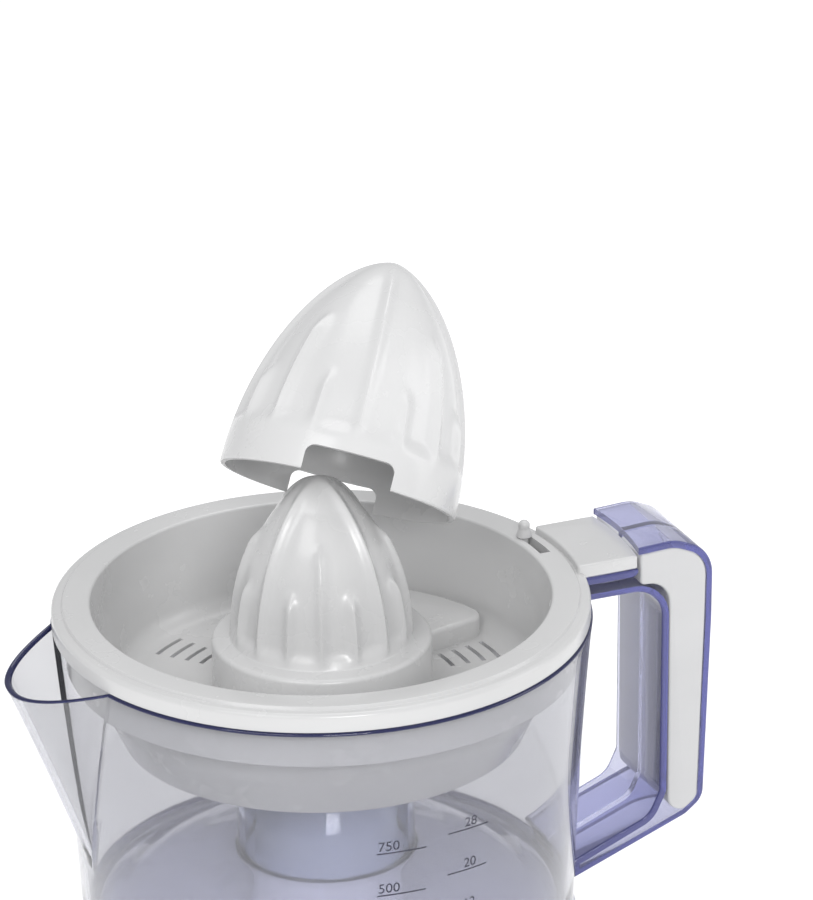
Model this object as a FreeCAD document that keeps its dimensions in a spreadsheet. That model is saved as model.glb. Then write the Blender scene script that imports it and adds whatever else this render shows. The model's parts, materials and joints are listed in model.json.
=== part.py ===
import FreeCAD, Part
import math
import os
import Sketcher
from fcgear import fcgear, involute

# Citrus press: jug with handle and spout, strainer, two reamer cones and a motor base.
# Millimetres. Origin on the drive axis at the surface the feet stand on, +Z up, +X towards the handle.

os.makedirs("parts", exist_ok=True)
doc = FreeCAD.newDocument("CitrusPress")
sheet = doc.addObject("Spreadsheet::Sheet", "dims")

DIMENSIONS = {
    # stack
    "rim_level": 170.0,
    "jug_bottom_level": 58.0,
    "plate_bottom_level": 3.0,
    "wall": 2.2,
    "running_gap": 0.3,
    # jug
    "jug_top_radius": 84.6,
    "jug_mid_radius": 80.7,
    "jug_bottom_radius": 78.3,
    "jug_top_drop": 7.0,
    "floor_edge_radius": 75.4,
    "floor_edge_level": 65.6,
    "floor_centre_level": 83.7,
    "column_radius": 28.1,
    "column_neck_radius": 24.0,
    "column_step_level": 103.0,
    "column_top_level": 145.0,
    "shaft_hole_radius": 7.0,
    "spout_reach": 105.2,
    "spout_half_width": 28.0,
    "spout_root": 79.7,
    "spout_lip_fall": 6.3,
    "spout_tip_radius": 11.0,
    "spout_foot_level": 93.0,
    # handle
    "handle_width": 35.0,
    "handle_reach": 126.2,
    "handle_flange": 2.2,
    "handle_web": 2.6,
    "handle_head_radius": 102.0,
    "insert_gap": 0.15,
    # strainer
    "strainer_rim_radius": 84.0,
    "strainer_mouth_radius": 71.9,
    "strainer_floor_radius": 66.0,
    "strainer_floor_drop": 33.0,
    "strainer_skirt_radius": 63.7,
    "strainer_skirt_drop": 43.5,
    "band_radius": 80.0,
    "band_drop": 20.0,
    "neck_radius": 31.0,
    "neck_drop": 19.0,
    "hub_hole_radius": 9.0,
    "tab_reach": 101.7,
    "tab_width": 34.6,
    "tab_rise": 1.5,
    "slot_width": 1.5,
    "slot_pitch": 5.3,
    "slot_outer_radius": 59.6,
    "platform_height": 7.0,
    "platform_radius": 65.5,
    "lever_radius": 76.0,
    "lever_angle": 10.5,
    "lever_travel": 9.0,
    # cones
    "small_cone_radius": 28.6,
    "small_cone_top_rise": 39.5,
    "small_cone_foot_drop": 14.0,
    "small_skirt_radius": 34.5,
    "small_skirt_drop": 29.5,
    "large_cone_radius": 37.6,
    "large_cone_height": 74.0,
    "large_cone_seat_drop": 19.5,
    "cone_wall": 1.9,
    "rib_depth": 1.7,
    "rib_width": 1.9,
    "notch_width": 28.0,
    "notch_height": 8.0,
    "front_rib_angle": -110.5,
    "lift_angle": 34.2,
    "lift_direction": 41.1,
    "lift_pivot_radius": 85.93,
    "lift_pivot_drop": 14.88,
    # base and drive
    "base_radius": 80.5,
    "base_plateau_radius": 71.0,
    "base_plateau_level": 61.0,
    "tower_radius": 20.2,
    "tower_top_level": 136.0,
    "tower_foot_level": 65.0,
    "shaft_radius": 4.0,
    "shaft_bottom_level": 14.5,
    "shaft_top_level": 174.0,
    "gear_module": 1.0,
    "fine_module": 0.8,
    "gear_width": 6.0,
    "gear_backlash": 0.12,
    "gear_direction": 58.0,
    "motor_direction": -10.0,
    "motor_radius": 25.0,
    "frame_level": 33.0,
    "press_travel": 2.5,
}
OUTPUT_TEETH = 50
SMALL_TEETH = 12
LARGE_TEETH = 40
PINION_TEETH = 10

for row, (alias, number) in enumerate(DIMENSIONS.items(), start=1):
    sheet.set(f"A{row}", alias)
    sheet.set(f"B{row}", str(number))
    sheet.setAlias(f"B{row}", alias)
doc.recompute()


class Size:
    """A number together with the spreadsheet expression that gives it."""

    def __init__(self, value, text):
        self.value = value
        self.text = text

    def joined(self, sign, other, value):
        return Size(value, f"({self.text} {sign} {as_size(other).text})")

    def __add__(self, other):
        return self.joined("+", other, self.value + as_size(other).value)

    def __sub__(self, other):
        return self.joined("-", other, self.value - as_size(other).value)

    def __mul__(self, other):
        return self.joined("*", other, self.value * as_size(other).value)

    def __truediv__(self, other):
        return self.joined("/", other, self.value / as_size(other).value)


def as_size(number):
    return number if isinstance(number, Size) else Size(float(number), f"{float(number)}")


def mm(alias):
    """A dimension as a plain number."""
    return float(getattr(sheet, alias))


def dim(alias):
    """A dimension that a feature can be bound to."""
    return Size(mm(alias), f"dims.{alias}")


def bind(piece, name, size):
    size = as_size(size)
    piece.setExpression(name, size.text)


nodes = []


def keep(piece, label):
    """Give the finished sub-part its name and put it on the export list."""
    piece.Label = label
    nodes.append(piece)
    return piece


def origin_plane(body, role):
    return next(feature for feature in body.Origin.OriginFeatures if feature.Role == role)


def arc_between(start, end, radius):
    """Arc of the given radius; a positive radius turns left, a negative one turns right."""
    chord = end - start
    middle = (start + end) * 0.5
    left = FreeCAD.Vector(-chord.y, chord.x, 0).normalize()
    rise = math.sqrt(radius ** 2 - (chord.Length / 2) ** 2)
    turn = math.copysign(1.0, radius)
    centre = middle + left * (turn * rise)
    crown = centre - left * (turn * abs(radius))
    return Part.Arc(start, crown, end)


def draw_outline(sketch, corners):
    """Closed outline bound to the sheet; a third value is the radius of the arc that ends there."""
    corners = [[as_size(value) for value in corner] for corner in corners]
    points = [FreeCAD.Vector(corner[0].value, corner[1].value, 0) for corner in corners]
    ends = []
    for index, corner in enumerate(corners):
        start, end = points[index - 1], points[index]
        if len(corner) == 3:
            geometry = sketch.addGeometry(arc_between(start, end, corner[2].value), False)
            turns_left = corner[2].value > 0
            ends.append((geometry, 1 if turns_left else 2, 2 if turns_left else 1))
            bend = sketch.addConstraint(
                Sketcher.Constraint("Radius", geometry, abs(corner[2].value)))
            text = corner[2].text if turns_left else f"-({corner[2].text})"
            sketch.setExpression(f"Constraints[{bend}]", text)
        else:
            geometry = sketch.addGeometry(Part.LineSegment(start, end), False)
            ends.append((geometry, 1, 2))
    for index, corner in enumerate(corners):
        geometry, _, last = ends[index]
        following, first, _ = ends[(index + 1) % len(ends)]
        sketch.addConstraint(Sketcher.Constraint("Coincident", geometry, last, following, first))
        for kind, axis, size in (("DistanceX", -2, corner[0]), ("DistanceY", -1, corner[1])):
            if abs(size.value) < 1e-9:
                sketch.addConstraint(Sketcher.Constraint("PointOnObject", geometry, last, axis))
                continue
            held = sketch.addConstraint(
                Sketcher.Constraint(kind, -1, 1, geometry, last, size.value))
            sketch.setExpression(f"Constraints[{held}]", size.text)


def revolved(name, corners):
    """Body turned about the drive axis from an outline of (radius, height) corners."""
    body = doc.addObject("PartDesign::Body", name)
    sketch = body.newObject("Sketcher::SketchObject", name + "_outline")
    sketch.AttachmentSupport = [(origin_plane(body, "XZ_Plane"), "")]
    sketch.MapMode = "FlatFace"
    draw_outline(sketch, corners)
    doc.recompute()
    turn = body.newObject("PartDesign::Revolution", name + "_turn")
    turn.Profile = sketch
    turn.ReferenceAxis = (sketch, ["V_Axis"])
    turn.Angle = 360.0
    return body


def cylinder(name, radius, height, x=0.0, y=0.0, z=0.0):
    piece = doc.addObject("Part::Cylinder", name)
    bind(piece, "Radius", radius)
    bind(piece, "Height", height)
    for axis, place in (("x", x), ("y", y), ("z", z)):
        bind(piece, f"Placement.Base.{axis}", place)
    return piece


def hexagon(name, across_flats, height, z):
    piece = doc.addObject("Part::Prism", name)
    piece.Polygon = 6
    bind(piece, "Circumradius", as_size(across_flats) / math.sqrt(3.0))
    bind(piece, "Height", height)
    bind(piece, "Placement.Base.z", z)
    return piece


def fused(name, pieces):
    piece = doc.addObject("Part::MultiFuse", name)
    piece.Shapes = pieces
    piece.Refine = True
    return piece


def cut(name, base, *tools):
    piece = doc.addObject("Part::Cut", name)
    piece.Base = base
    piece.Tool = tools[0] if len(tools) == 1 else fused(name + "_tools", list(tools))
    return piece


def shaped(name, shape):
    """Free-form sub-part made with Part functions."""
    piece = doc.addObject("Part::Feature", name)
    piece.Shape = shape
    return piece


def polar(radius, degrees, level=0.0):
    angle = math.radians(degrees)
    return FreeCAD.Vector(radius * math.cos(angle), radius * math.sin(angle), level)


def turned_solid(points):
    """Solid of revolution; a three-point entry (x, z, via) passes through via on an arc."""
    edges = []
    places = [FreeCAD.Vector(point[0], 0, point[1]) for point in points]
    for index, point in enumerate(points):
        start, end = places[index - 1], places[index]
        if len(point) == 3:
            via = FreeCAD.Vector(point[2][0], 0, point[2][1])
            edges.append(Part.Arc(start, via, end).toShape())
        else:
            edges.append(Part.LineSegment(start, end).toShape())
    face = Part.Face(Part.Wire(edges))
    return face.revolve(FreeCAD.Vector(), FreeCAD.Vector(0, 0, 1), 360)


RIM = mm("rim_level")


# ---------------------------------------------------------------- jug

def jug_wall_radius(level, inset=0.0):
    """Outer wall radius, straight between the top, middle and bottom sizes."""
    top, bottom = RIM - mm("jug_top_drop"), mm("jug_bottom_level")
    middle = (top + bottom) / 2
    if level > middle:
        share = (level - middle) / (top - middle)
        radius = mm("jug_mid_radius") + share * (mm("jug_top_radius") - mm("jug_mid_radius"))
    else:
        share = (level - bottom) / (middle - bottom)
        radius = mm("jug_bottom_radius") + share * (mm("jug_mid_radius") - mm("jug_bottom_radius"))
    return radius - inset


def jug_solids():
    """Outer form, juice space and the hollow underneath, all turned about the drive axis."""
    top, bottom, wall = RIM - mm("jug_top_drop"), mm("jug_bottom_level"), mm("wall")
    middle = (top + bottom) / 2
    floor_z, centre_z = mm("floor_edge_level"), mm("floor_centre_level")
    column, neck = mm("column_radius"), mm("column_neck_radius")
    step, column_top = mm("column_step_level"), mm("column_top_level")
    edge = mm("floor_edge_radius")
    crown = ((edge + column) / 2, (floor_z + centre_z) / 2 + 2.2)
    outer = turned_solid([
        (0, bottom), (jug_wall_radius(bottom), bottom),
        (jug_wall_radius(top), top, (jug_wall_radius(middle), middle)), (0, top)])
    inner_start = jug_wall_radius(floor_z, wall)
    inner = turned_solid([
        (0, column_top), (neck - 4, column_top), (neck, column_top - 4, (neck - 1.2, column_top - 1.2)),
        (neck, step + 3), (column, step, (neck + 3.3, step + 2.2)), (column, centre_z + 2),
        (column + 2, centre_z, (column + 0.6, centre_z + 0.6)),
        (edge - 1, floor_z, crown), (inner_start, floor_z + 2, (edge - 0.2, floor_z + 0.5)),
        (jug_wall_radius(top + 1, wall), top + 1, (jug_wall_radius(middle, wall), middle)),
        (0, top + 1)])
    low_crown = (crown[0], crown[1] - wall)
    hollow = turned_solid([
        (0, bottom - 1), (jug_wall_radius(bottom, wall), bottom - 1),
        (jug_wall_radius(bottom, wall), floor_z - wall - 1), (edge - 2.5, floor_z - wall),
        (column - wall, centre_z - wall, low_crown), (column - wall, step - 1.5),
        (neck - wall, step + 1.5), (neck - wall, column_top - wall), (0, column_top - wall)])
    return outer, inner, hollow


def spout_outline(level, tip, half_width, root, tip_radius, back):
    """Rounded beak seen from above, pointing along -X."""
    bulge = 0.05 * half_width
    shoulder = FreeCAD.Vector(-tip + 0.42 * tip_radius, 0.86 * tip_radius, level)
    left_root = FreeCAD.Vector(-root, half_width, level)
    middle = (left_root + shoulder) * 0.5 + FreeCAD.Vector(-bulge, bulge, 0)
    edges = [Part.Arc(left_root, middle, shoulder)]
    mirror = [FreeCAD.Vector(point.x, -point.y, level) for point in (shoulder, middle, left_root)]
    edges.append(Part.Arc(shoulder, FreeCAD.Vector(-tip, 0, level), mirror[0]))
    edges.append(Part.Arc(*mirror))
    back_left = FreeCAD.Vector(-back, 0.9 * half_width, level)
    back_right = FreeCAD.Vector(-back, -0.9 * half_width, level)
    for start, end in ((mirror[2], back_right), (back_right, back_left), (back_left, left_root)):
        edges.append(Part.LineSegment(start, end))
    return Part.Wire([edge.toShape() for edge in edges])


def spout_solid(inset, extra):
    """Beak that narrows down to its foot on the jug wall."""
    top, foot = RIM - mm("jug_top_drop"), mm("spout_foot_level")
    reach, half_width = mm("spout_reach") - inset, mm("spout_half_width") - inset
    foot_radius = jug_wall_radius(foot)
    lean = (mm("spout_reach") - foot_radius) / (top - foot)
    upper = spout_outline(top + extra, reach + lean * extra, half_width, mm("spout_root"),
                          mm("spout_tip_radius") - inset, 68.0)
    lower = spout_outline(foot, foot_radius + 0.5 - inset, 1.6, foot_radius - 1.5 - inset, 1.2, 68.0)
    return Part.makeLoft([upper, lower], True, True)


def handle_outline(shrink=0.0):
    """Closed handle band in the XZ plane: outer border, then the border of the finger gap."""
    inside = jug_wall_radius(RIM) - 9.0
    reach = mm("handle_reach")
    head, arm_top, arm_low = RIM + 4.3, RIM - 3.2, RIM - 11.0
    grip = reach - 17.2
    outer = [
        ((inside, arm_top), None), ((reach - 28.0, arm_top), None), ((reach - 28.0, head - 0.6), None),
        ((reach - 17.0, head), (reach - 22.5, head)),
        ((reach, RIM - 16.0), (reach - 4.2, RIM - 3.6)),
        ((reach - 2.2, RIM - 83.0), None),
        ((reach - 8.5, RIM - 92.8), (reach - 4.0, RIM - 89.6)),
        ((inside, RIM - 108.9), None), ((inside, RIM - 102.6), None),
        ((reach - 24.0, RIM - 91.4), None), ((grip - 0.9, RIM - 83.5), (reach - 19.5, RIM - 88.6)),
        ((grip, RIM - 21.0), None), ((grip - 8.5, arm_low), (grip - 2.4, RIM - 13.4)),
        ((inside, arm_low), None)]
    places = [FreeCAD.Vector(point[0], 0, point[1]) for point, _ in outer]
    edges = []
    for index, (_, via) in enumerate(outer):
        start, end = places[index - 1], places[index]
        if via:
            edges.append(Part.Arc(start, FreeCAD.Vector(via[0], 0, via[1]), end).toShape())
        else:
            edges.append(Part.LineSegment(start, end).toShape())
    face = Part.Face(Part.Wire(edges))
    return face.makeOffset2D(-shrink) if shrink else face


def slab(face, low_y, high_y):
    """Extrude a face of the XZ plane from low_y to high_y."""
    moved = face.copy()
    moved.translate(FreeCAD.Vector(0, low_y, 0))
    return moved.extrude(FreeCAD.Vector(0, high_y - low_y, 0))


def handle_frame():
    """I-section handle: a wide flange all round and a thin web down the middle."""
    half, web = mm("handle_width") / 2, mm("handle_web") / 2
    frame = slab(handle_outline(), -half, half)
    pocket = handle_outline(mm("handle_flange"))
    for low, high in ((web, half + 1), (-half - 1, -web)):
        frame = frame.cut(slab(pocket, low, high))
    arm_top = RIM - 3.2
    return frame.cut(Part.makeCylinder(mm("handle_head_radius"), 20, FreeCAD.Vector(0, 0, arm_top)))


def above_lip():
    """Slanting block that trims the spout, so that its lip falls towards the tip."""
    block = Part.makeBox(40, 90, 30, FreeCAD.Vector(-40, -45, 0))
    slope = math.atan2(mm("spout_lip_fall"), mm("spout_reach") - mm("spout_root"))
    block.rotate(FreeCAD.Vector(0, 0, 0), FreeCAD.Vector(0, 1, 0), -math.degrees(slope))
    block.translate(FreeCAD.Vector(-mm("spout_root"), 0, RIM - mm("jug_top_drop")))
    return block


def make_jug():
    outer, inner, hollow = jug_solids()
    outside = outer.fuse(spout_solid(0.0, 0.0))
    body = outside.cut(inner).cut(spout_solid(mm("wall"), 1.0)).cut(hollow).cut(above_lip())
    hole = Part.makeCylinder(mm("shaft_hole_radius"), 6,
                             FreeCAD.Vector(0, 0, mm("column_top_level") - 4))
    body = body.cut(hole).removeSplitter()
    column = Part.makeCylinder(mm("column_radius") + 4, mm("column_top_level"),
                               FreeCAD.Vector(0, 0, mm("floor_centre_level") + 4.3))
    seat = Part.makeCylinder(mm("strainer_rim_radius") + mm("running_gap"), 20,
                             FreeCAD.Vector(0, 0, RIM - mm("jug_top_drop")))
    keep(shaped("Jug", body.cut(column)), "jug_vessel")
    keep(shaped("Column", body.common(column)), "jug_column")
    keep(shaped("Handle", handle_frame().cut(outside).cut(seat)), "jug_handle")


def make_handle_inserts():
    """White side plates that fill the grip and head of the handle on both sides."""
    half, web = mm("handle_width") / 2, mm("handle_web") / 2
    gap = mm("insert_gap")
    pocket = handle_outline(mm("handle_flange") + gap)
    reach = mm("handle_reach")
    window = Part.makeBox(reach, 90, 92.2, FreeCAD.Vector(mm("handle_head_radius") - 1.0, -45, RIM - 87.5))
    foot = Part.makeCylinder(5.6, 90, FreeCAD.Vector(reach - 10.4, -45, RIM - 85.0),
                             FreeCAD.Vector(0, 1, 0))
    window = window.fuse(foot)
    head = Part.makeCylinder(mm("handle_head_radius") + gap, 60, FreeCAD.Vector(0, 0, RIM - 30))
    for label, low, high in (("handle_insert_left", web + gap, half),
                             ("handle_insert_right", -half, -web - gap)):
        plate = slab(pocket, low, high).common(window).cut(head)
        keep(shaped(label, plate), label)


# ---------------------------------------------------------------- strainer

def rim_drop(alias, extra=0.0):
    return dim("rim_level") - dim(alias) - extra


def make_strainer():
    wall, rim = dim("wall"), dim("rim_level")
    mouth, band = dim("strainer_mouth_radius"), dim("band_radius")
    floor_top = rim_drop("strainer_floor_drop")
    floor_low = floor_top - 2.0
    skirt = dim("strainer_skirt_radius")
    skirt_low = rim_drop("strainer_skirt_drop")
    neck, neck_top = dim("neck_radius"), rim_drop("neck_drop")
    edge = dim("strainer_rim_radius")
    seat = rim_drop("jug_top_drop")
    hole = dim("hub_hole_radius")
    bowl = revolved("StrainerBowl", [
        (mouth + 0.8, rim, -0.9), (edge - 3.8, rim), (edge - 3.3, rim - 0.9), (edge - 1.5, rim - 0.9),
        (edge, rim - 2.4, -1.5), (edge, seat), (edge - wall, seat), (edge - wall, rim - 3.2),
        (band, rim - 3.2), (band, rim - dim("band_drop")), (band - 1.7, rim - dim("band_drop")),
        (band - 1.7, rim - 3.2), (mouth + wall, rim - 3.2), (mouth - 2.6, floor_top + 2.0),
        (skirt, skirt_low, -24.0), (skirt - 1.8, skirt_low), (mouth - 6.0, floor_low, 22.0),
        (neck - 2.0, floor_low), (neck - 2.0, neck_top - 2.0), (hole, neck_top - 2.0),
        (hole, neck_top), (neck - 1.5, neck_top), (neck, neck_top - 1.5, -1.5),
        (neck, floor_top), (mouth - 11.0, floor_top), (mouth - 5.0, floor_top + 6.0, 6.5),
        (mouth, rim - 1.0)])
    additions = fused("StrainerSolid", [bowl, shaped("Tab", tab_shape()),
                                        shaped("Platform", platform_shape())])
    keep(cut("StrainerCut", additions, shaped("Slots", slot_shape()),
             shaped("LeverTrack", track_shape())), "strainer_bowl")


def tab_shape():
    """Tongue over the handle's top arm, ending on an arc about the drive axis."""
    half, rim = mm("tab_width") / 2, RIM
    block = Part.makeBox(30, 2 * half, mm("tab_rise") + 3.0,
                         FreeCAD.Vector(mm("strainer_rim_radius") - 6, -half, rim - 3.0))
    reach = Part.makeCylinder(mm("tab_reach"), 20, FreeCAD.Vector(0, 0, rim - 10))
    inside = Part.makeCylinder(mm("strainer_rim_radius") - 2.5, 20, FreeCAD.Vector(0, 0, rim - 10))
    tab = block.common(reach).cut(inside)
    upper = [edge for edge in tab.Edges
             if min(v.Z for v in edge.Vertexes) > rim + mm("tab_rise") - 0.01
             and max(v.X for v in edge.Vertexes) > 90]
    return tab.makeFillet(1.0, upper)


def sector(inner, outer, start, end, low, height):
    """Flat ring piece between two angles."""
    angle = math.radians
    corner = [polar(inner, start, low), polar(outer, start, low),
              polar(outer, end, low), polar(inner, end, low)]
    middle = (start + end) / 2
    edges = [Part.LineSegment(corner[0], corner[1]),
             Part.Arc(corner[1], polar(outer, middle, low), corner[2]),
             Part.LineSegment(corner[2], corner[3]),
             Part.Arc(corner[3], polar(inner, middle, low), corner[0])]
    face = Part.Face(Part.Wire([edge.toShape() for edge in edges]))
    return face.extrude(FreeCAD.Vector(0, 0, height))


PLATFORM_START = 14.5
PLATFORM_END = 84.0
SLOT_HALF_ANGLE = 6.5


def platform_shape():
    """Raised deck beside the neck."""
    floor_top = RIM - mm("strainer_floor_drop")
    outer, height = mm("platform_radius"), mm("platform_height")
    inner = mm("small_skirt_radius") + 1.5
    deck = sector(inner, outer, PLATFORM_START, PLATFORM_END, floor_top - 0.5, height + 0.5)
    corners = [edge for edge in deck.Edges
               if abs(edge.Vertexes[0].Z - edge.Vertexes[-1].Z) > 1
               and math.hypot(edge.Vertexes[0].X, edge.Vertexes[0].Y) > outer - 1]
    deck = deck.makeFillet(6.0, corners)
    top = [edge for edge in deck.Edges if min(v.Z for v in edge.Vertexes) > floor_top + height - 0.01]
    return deck.makeFillet(1.6, top)


def slot_shape():
    """Groups of four juice slots along circles, left out under the raised deck."""
    width, pitch = mm("slot_width"), mm("slot_pitch")
    low = RIM - mm("strainer_floor_drop") - 3
    slots = []
    for middle in range(5, 365, 30):
        if PLATFORM_START < middle < PLATFORM_END:
            continue
        for ring in range(4):
            radius = mm("slot_outer_radius") - ring * pitch
            slots.append(sector(radius - width / 2, radius + width / 2,
                                middle - SLOT_HALF_ANGLE, middle + SLOT_HALF_ANGLE, low, 4))
    return Part.makeCompound(slots)


def track_shape():
    """Arc slot in the rim for the lever and the window in the skirt that its arm moves in."""
    radius, angle, travel = mm("lever_radius"), mm("lever_angle"), mm("lever_travel")
    rim_slot = sector(radius - 1.75, radius + 1.75, angle - travel - 1.6, angle + 1.6, RIM - 5, 8)
    window = sector(60.0, 75.5, angle - travel - 4.5, angle + 4.5, RIM - 41.2, 5.2)
    return rim_slot.fuse(window)


def make_pulp_control():
    """Ring under the sieve with its arm and upright, and the knob on top of the rim."""
    level, angle = RIM - 40.0, mm("lever_angle")
    ring = Part.makeCylinder(62.2, 2.0, FreeCAD.Vector(0, 0, RIM - 37.8))
    ring = ring.cut(Part.makeCylinder(41.0, 4, FreeCAD.Vector(0, 0, RIM - 39)))
    windows = [sector(42.6, 60.6, start, start + 14, RIM - 39, 4) for start in range(-2, 358, 30)]
    ring = ring.cut(Part.makeCompound(windows))
    arm = sector(60.8, 77.4, angle - 2.0, angle + 2.0, level, 2.2)
    upright = Part.makeCylinder(1.4, 42.2, polar(mm("lever_radius"), angle, level))
    keep(shaped("PulpRing", ring.fuse([arm, upright]).removeSplitter()), "pulp_control_ring")
    stem = Part.makeCylinder(1.9, 3.6, polar(mm("lever_radius"), angle, RIM + 0.2))
    knob = stem.fuse(Part.makeSphere(1.9, polar(mm("lever_radius"), angle, RIM + 3.8)))
    keep(shaped("PulpKnob", knob.cut(upright)), "pulp_control_knob")


# ---------------------------------------------------------------- cones

CONE_PROFILE = ((1.0, 0.0), (0.965, 0.22), (0.855, 0.475), (0.61, 0.73), (0.33, 0.92), (0.0, 1.0))


def cone_form(radius, foot, top):
    """Solid reamer form: upright at the foot, drawn in to a blunt rounded tip."""
    points = [FreeCAD.Vector(radius * across, 0, foot + (top - foot) * up)
              for across, up in CONE_PROFILE]
    side = Part.BSplineCurve()
    side.interpolate(Points=points, InitialTangent=FreeCAD.Vector(0, 0, 1),
                     FinalTangent=FreeCAD.Vector(-1, 0, 0))
    centre = FreeCAD.Vector(0, 0, foot)
    face = Part.Face(Part.Wire([Part.LineSegment(centre, points[0]).toShape(), side.toShape(),
                                Part.LineSegment(points[-1], centre).toShape()]))
    return face.revolve(FreeCAD.Vector(), FreeCAD.Vector(0, 0, 1), 360)


def ribbed(core, full, foot, top, rib_angle):
    """Core form plus sixteen upright ribs that reach the full outline."""
    height, width = top - foot, mm("rib_width")
    result = core
    reaches = (1.0, 0.44, 0.70, 0.44)
    for index in range(16):
        reach = reaches[index % 4]
        plate = Part.makeBox(60, width, height * reach, FreeCAD.Vector(2, -width / 2, foot))
        plate.rotate(FreeCAD.Vector(), FreeCAD.Vector(0, 0, 1), rib_angle + 22.5 * index)
        result = result.fuse(plate.common(full))
    return result.removeSplitter()


def make_small_cone():
    foot, top = RIM - mm("small_cone_foot_drop"), RIM + mm("small_cone_top_rise")
    wall, depth = mm("cone_wall"), mm("rib_depth")
    radius, skirt = mm("small_cone_radius"), mm("small_skirt_radius")
    skirt_low = RIM - mm("small_skirt_drop")
    full = cone_form(radius, foot, top)
    core = cone_form(radius - depth, foot, top - 0.6 * depth)
    body = ribbed(core, full, foot, top, mm("front_rib_angle") - 45)
    flange = Part.makeCone(skirt, skirt - 1.0, 1.0, FreeCAD.Vector(0, 0, foot))
    body = body.fuse([flange, Part.makeCylinder(skirt, foot - skirt_low, FreeCAD.Vector(0, 0, skirt_low))])
    inside = cone_form(radius - depth - wall, foot - 3, top - depth - 2 * wall)
    skirt_inside = Part.makeCylinder(skirt - 1.8, foot - 1.2 - skirt_low + 1,
                                     FreeCAD.Vector(0, 0, skirt_low - 1))
    body = body.cut(inside).cut(skirt_inside)
    socket = Part.makeCylinder(10.0, top - 6 - (RIM - 12.0), FreeCAD.Vector(0, 0, RIM - 12.0))
    bore = Part.makeCylinder(7.9, 32.0, FreeCAD.Vector(0, 0, RIM - 18.0))
    body = body.fuse(socket.common(full)).cut(bore)
    keep(shaped("SmallCone", body.removeSplitter()), "small_cone")


def make_large_cone():
    """Hollow reamer that drops over the small one; drawn seated, then lifted and tipped."""
    foot = RIM - mm("large_cone_seat_drop")
    top = foot + mm("large_cone_height")
    wall, depth, radius = mm("cone_wall"), mm("rib_depth"), mm("large_cone_radius")
    full = cone_form(radius, foot, top)
    core = cone_form(radius - depth, foot, top - 0.6 * depth)
    angle = mm("front_rib_angle")
    body = ribbed(core, full, foot, top, angle)
    band = full.common(Part.makeCylinder(60, 11.0, FreeCAD.Vector(0, 0, foot)))
    inside = cone_form(radius - wall, foot, top - depth - 2 * wall)
    upper_inside = cone_form(radius - depth - wall, foot, top - depth - wall)
    body = body.fuse(band).cut(inside.common(upper_inside))
    body = body.cut(Part.makeCylinder(radius - wall, 9.0, FreeCAD.Vector(0, 0, foot - 1)))
    half = mm("notch_width") / 2
    notch = Part.makeBox(120, 2 * half, mm("notch_height") + 1,
                         FreeCAD.Vector(-60, -half, foot - 1))
    notch = notch.makeFillet(3.0, [edge for edge in notch.Edges
                                   if min(v.Z for v in edge.Vertexes) > foot + 2])
    notch.rotate(FreeCAD.Vector(), FreeCAD.Vector(0, 0, 1), angle)
    body = body.cut(notch).removeSplitter()
    piece = keep(shaped("LargeCone", body), "large_cone")
    lean = mm("lift_direction")
    pivot = polar(mm("lift_pivot_radius"), lean, RIM - mm("lift_pivot_drop"))
    axis = polar(1.0, lean + 90)
    turn = FreeCAD.Rotation(axis, mm("lift_angle"))
    piece.Placement = FreeCAD.Placement(pivot - turn.multVec(pivot), turn)


# ---------------------------------------------------------------- drive

def gear_face(module, teeth, turn):
    """Involute gear seen along its axis, first tooth at the given angle."""
    builder = fcgear.FCWireBuilder()
    involute.CreateExternalGear(builder, module, teeth, 20.0, True)
    wire = Part.Wire([piece.toShape() for piece in builder.wire])
    wire.rotate(FreeCAD.Vector(), FreeCAD.Vector(0, 0, 1), turn)
    return Part.Face(wire)


def gear_solid(module, teeth, turn, centre, low, width):
    solid = gear_face(module, teeth, turn).extrude(FreeCAD.Vector(0, 0, width))
    solid.translate(centre + FreeCAD.Vector(0, 0, low))
    return solid


def meshing_turn(direction, driver_teeth, driver_turn, teeth):
    """Turn of a gear, placed in the given direction from its partner, that puts a gap at a tooth."""
    phase = (direction - driver_turn) * driver_teeth / 360.0
    return direction + 180.0 + (phase + 0.5) * 360.0 / teeth


def gear_centres():
    module, fine, play = mm("gear_module"), mm("fine_module"), mm("gear_backlash")
    first = polar(module * (OUTPUT_TEETH + SMALL_TEETH) / 2 + play, mm("gear_direction"))
    second = first + polar(fine * (LARGE_TEETH + PINION_TEETH) / 2 + play, mm("motor_direction"))
    return first, second


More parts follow.
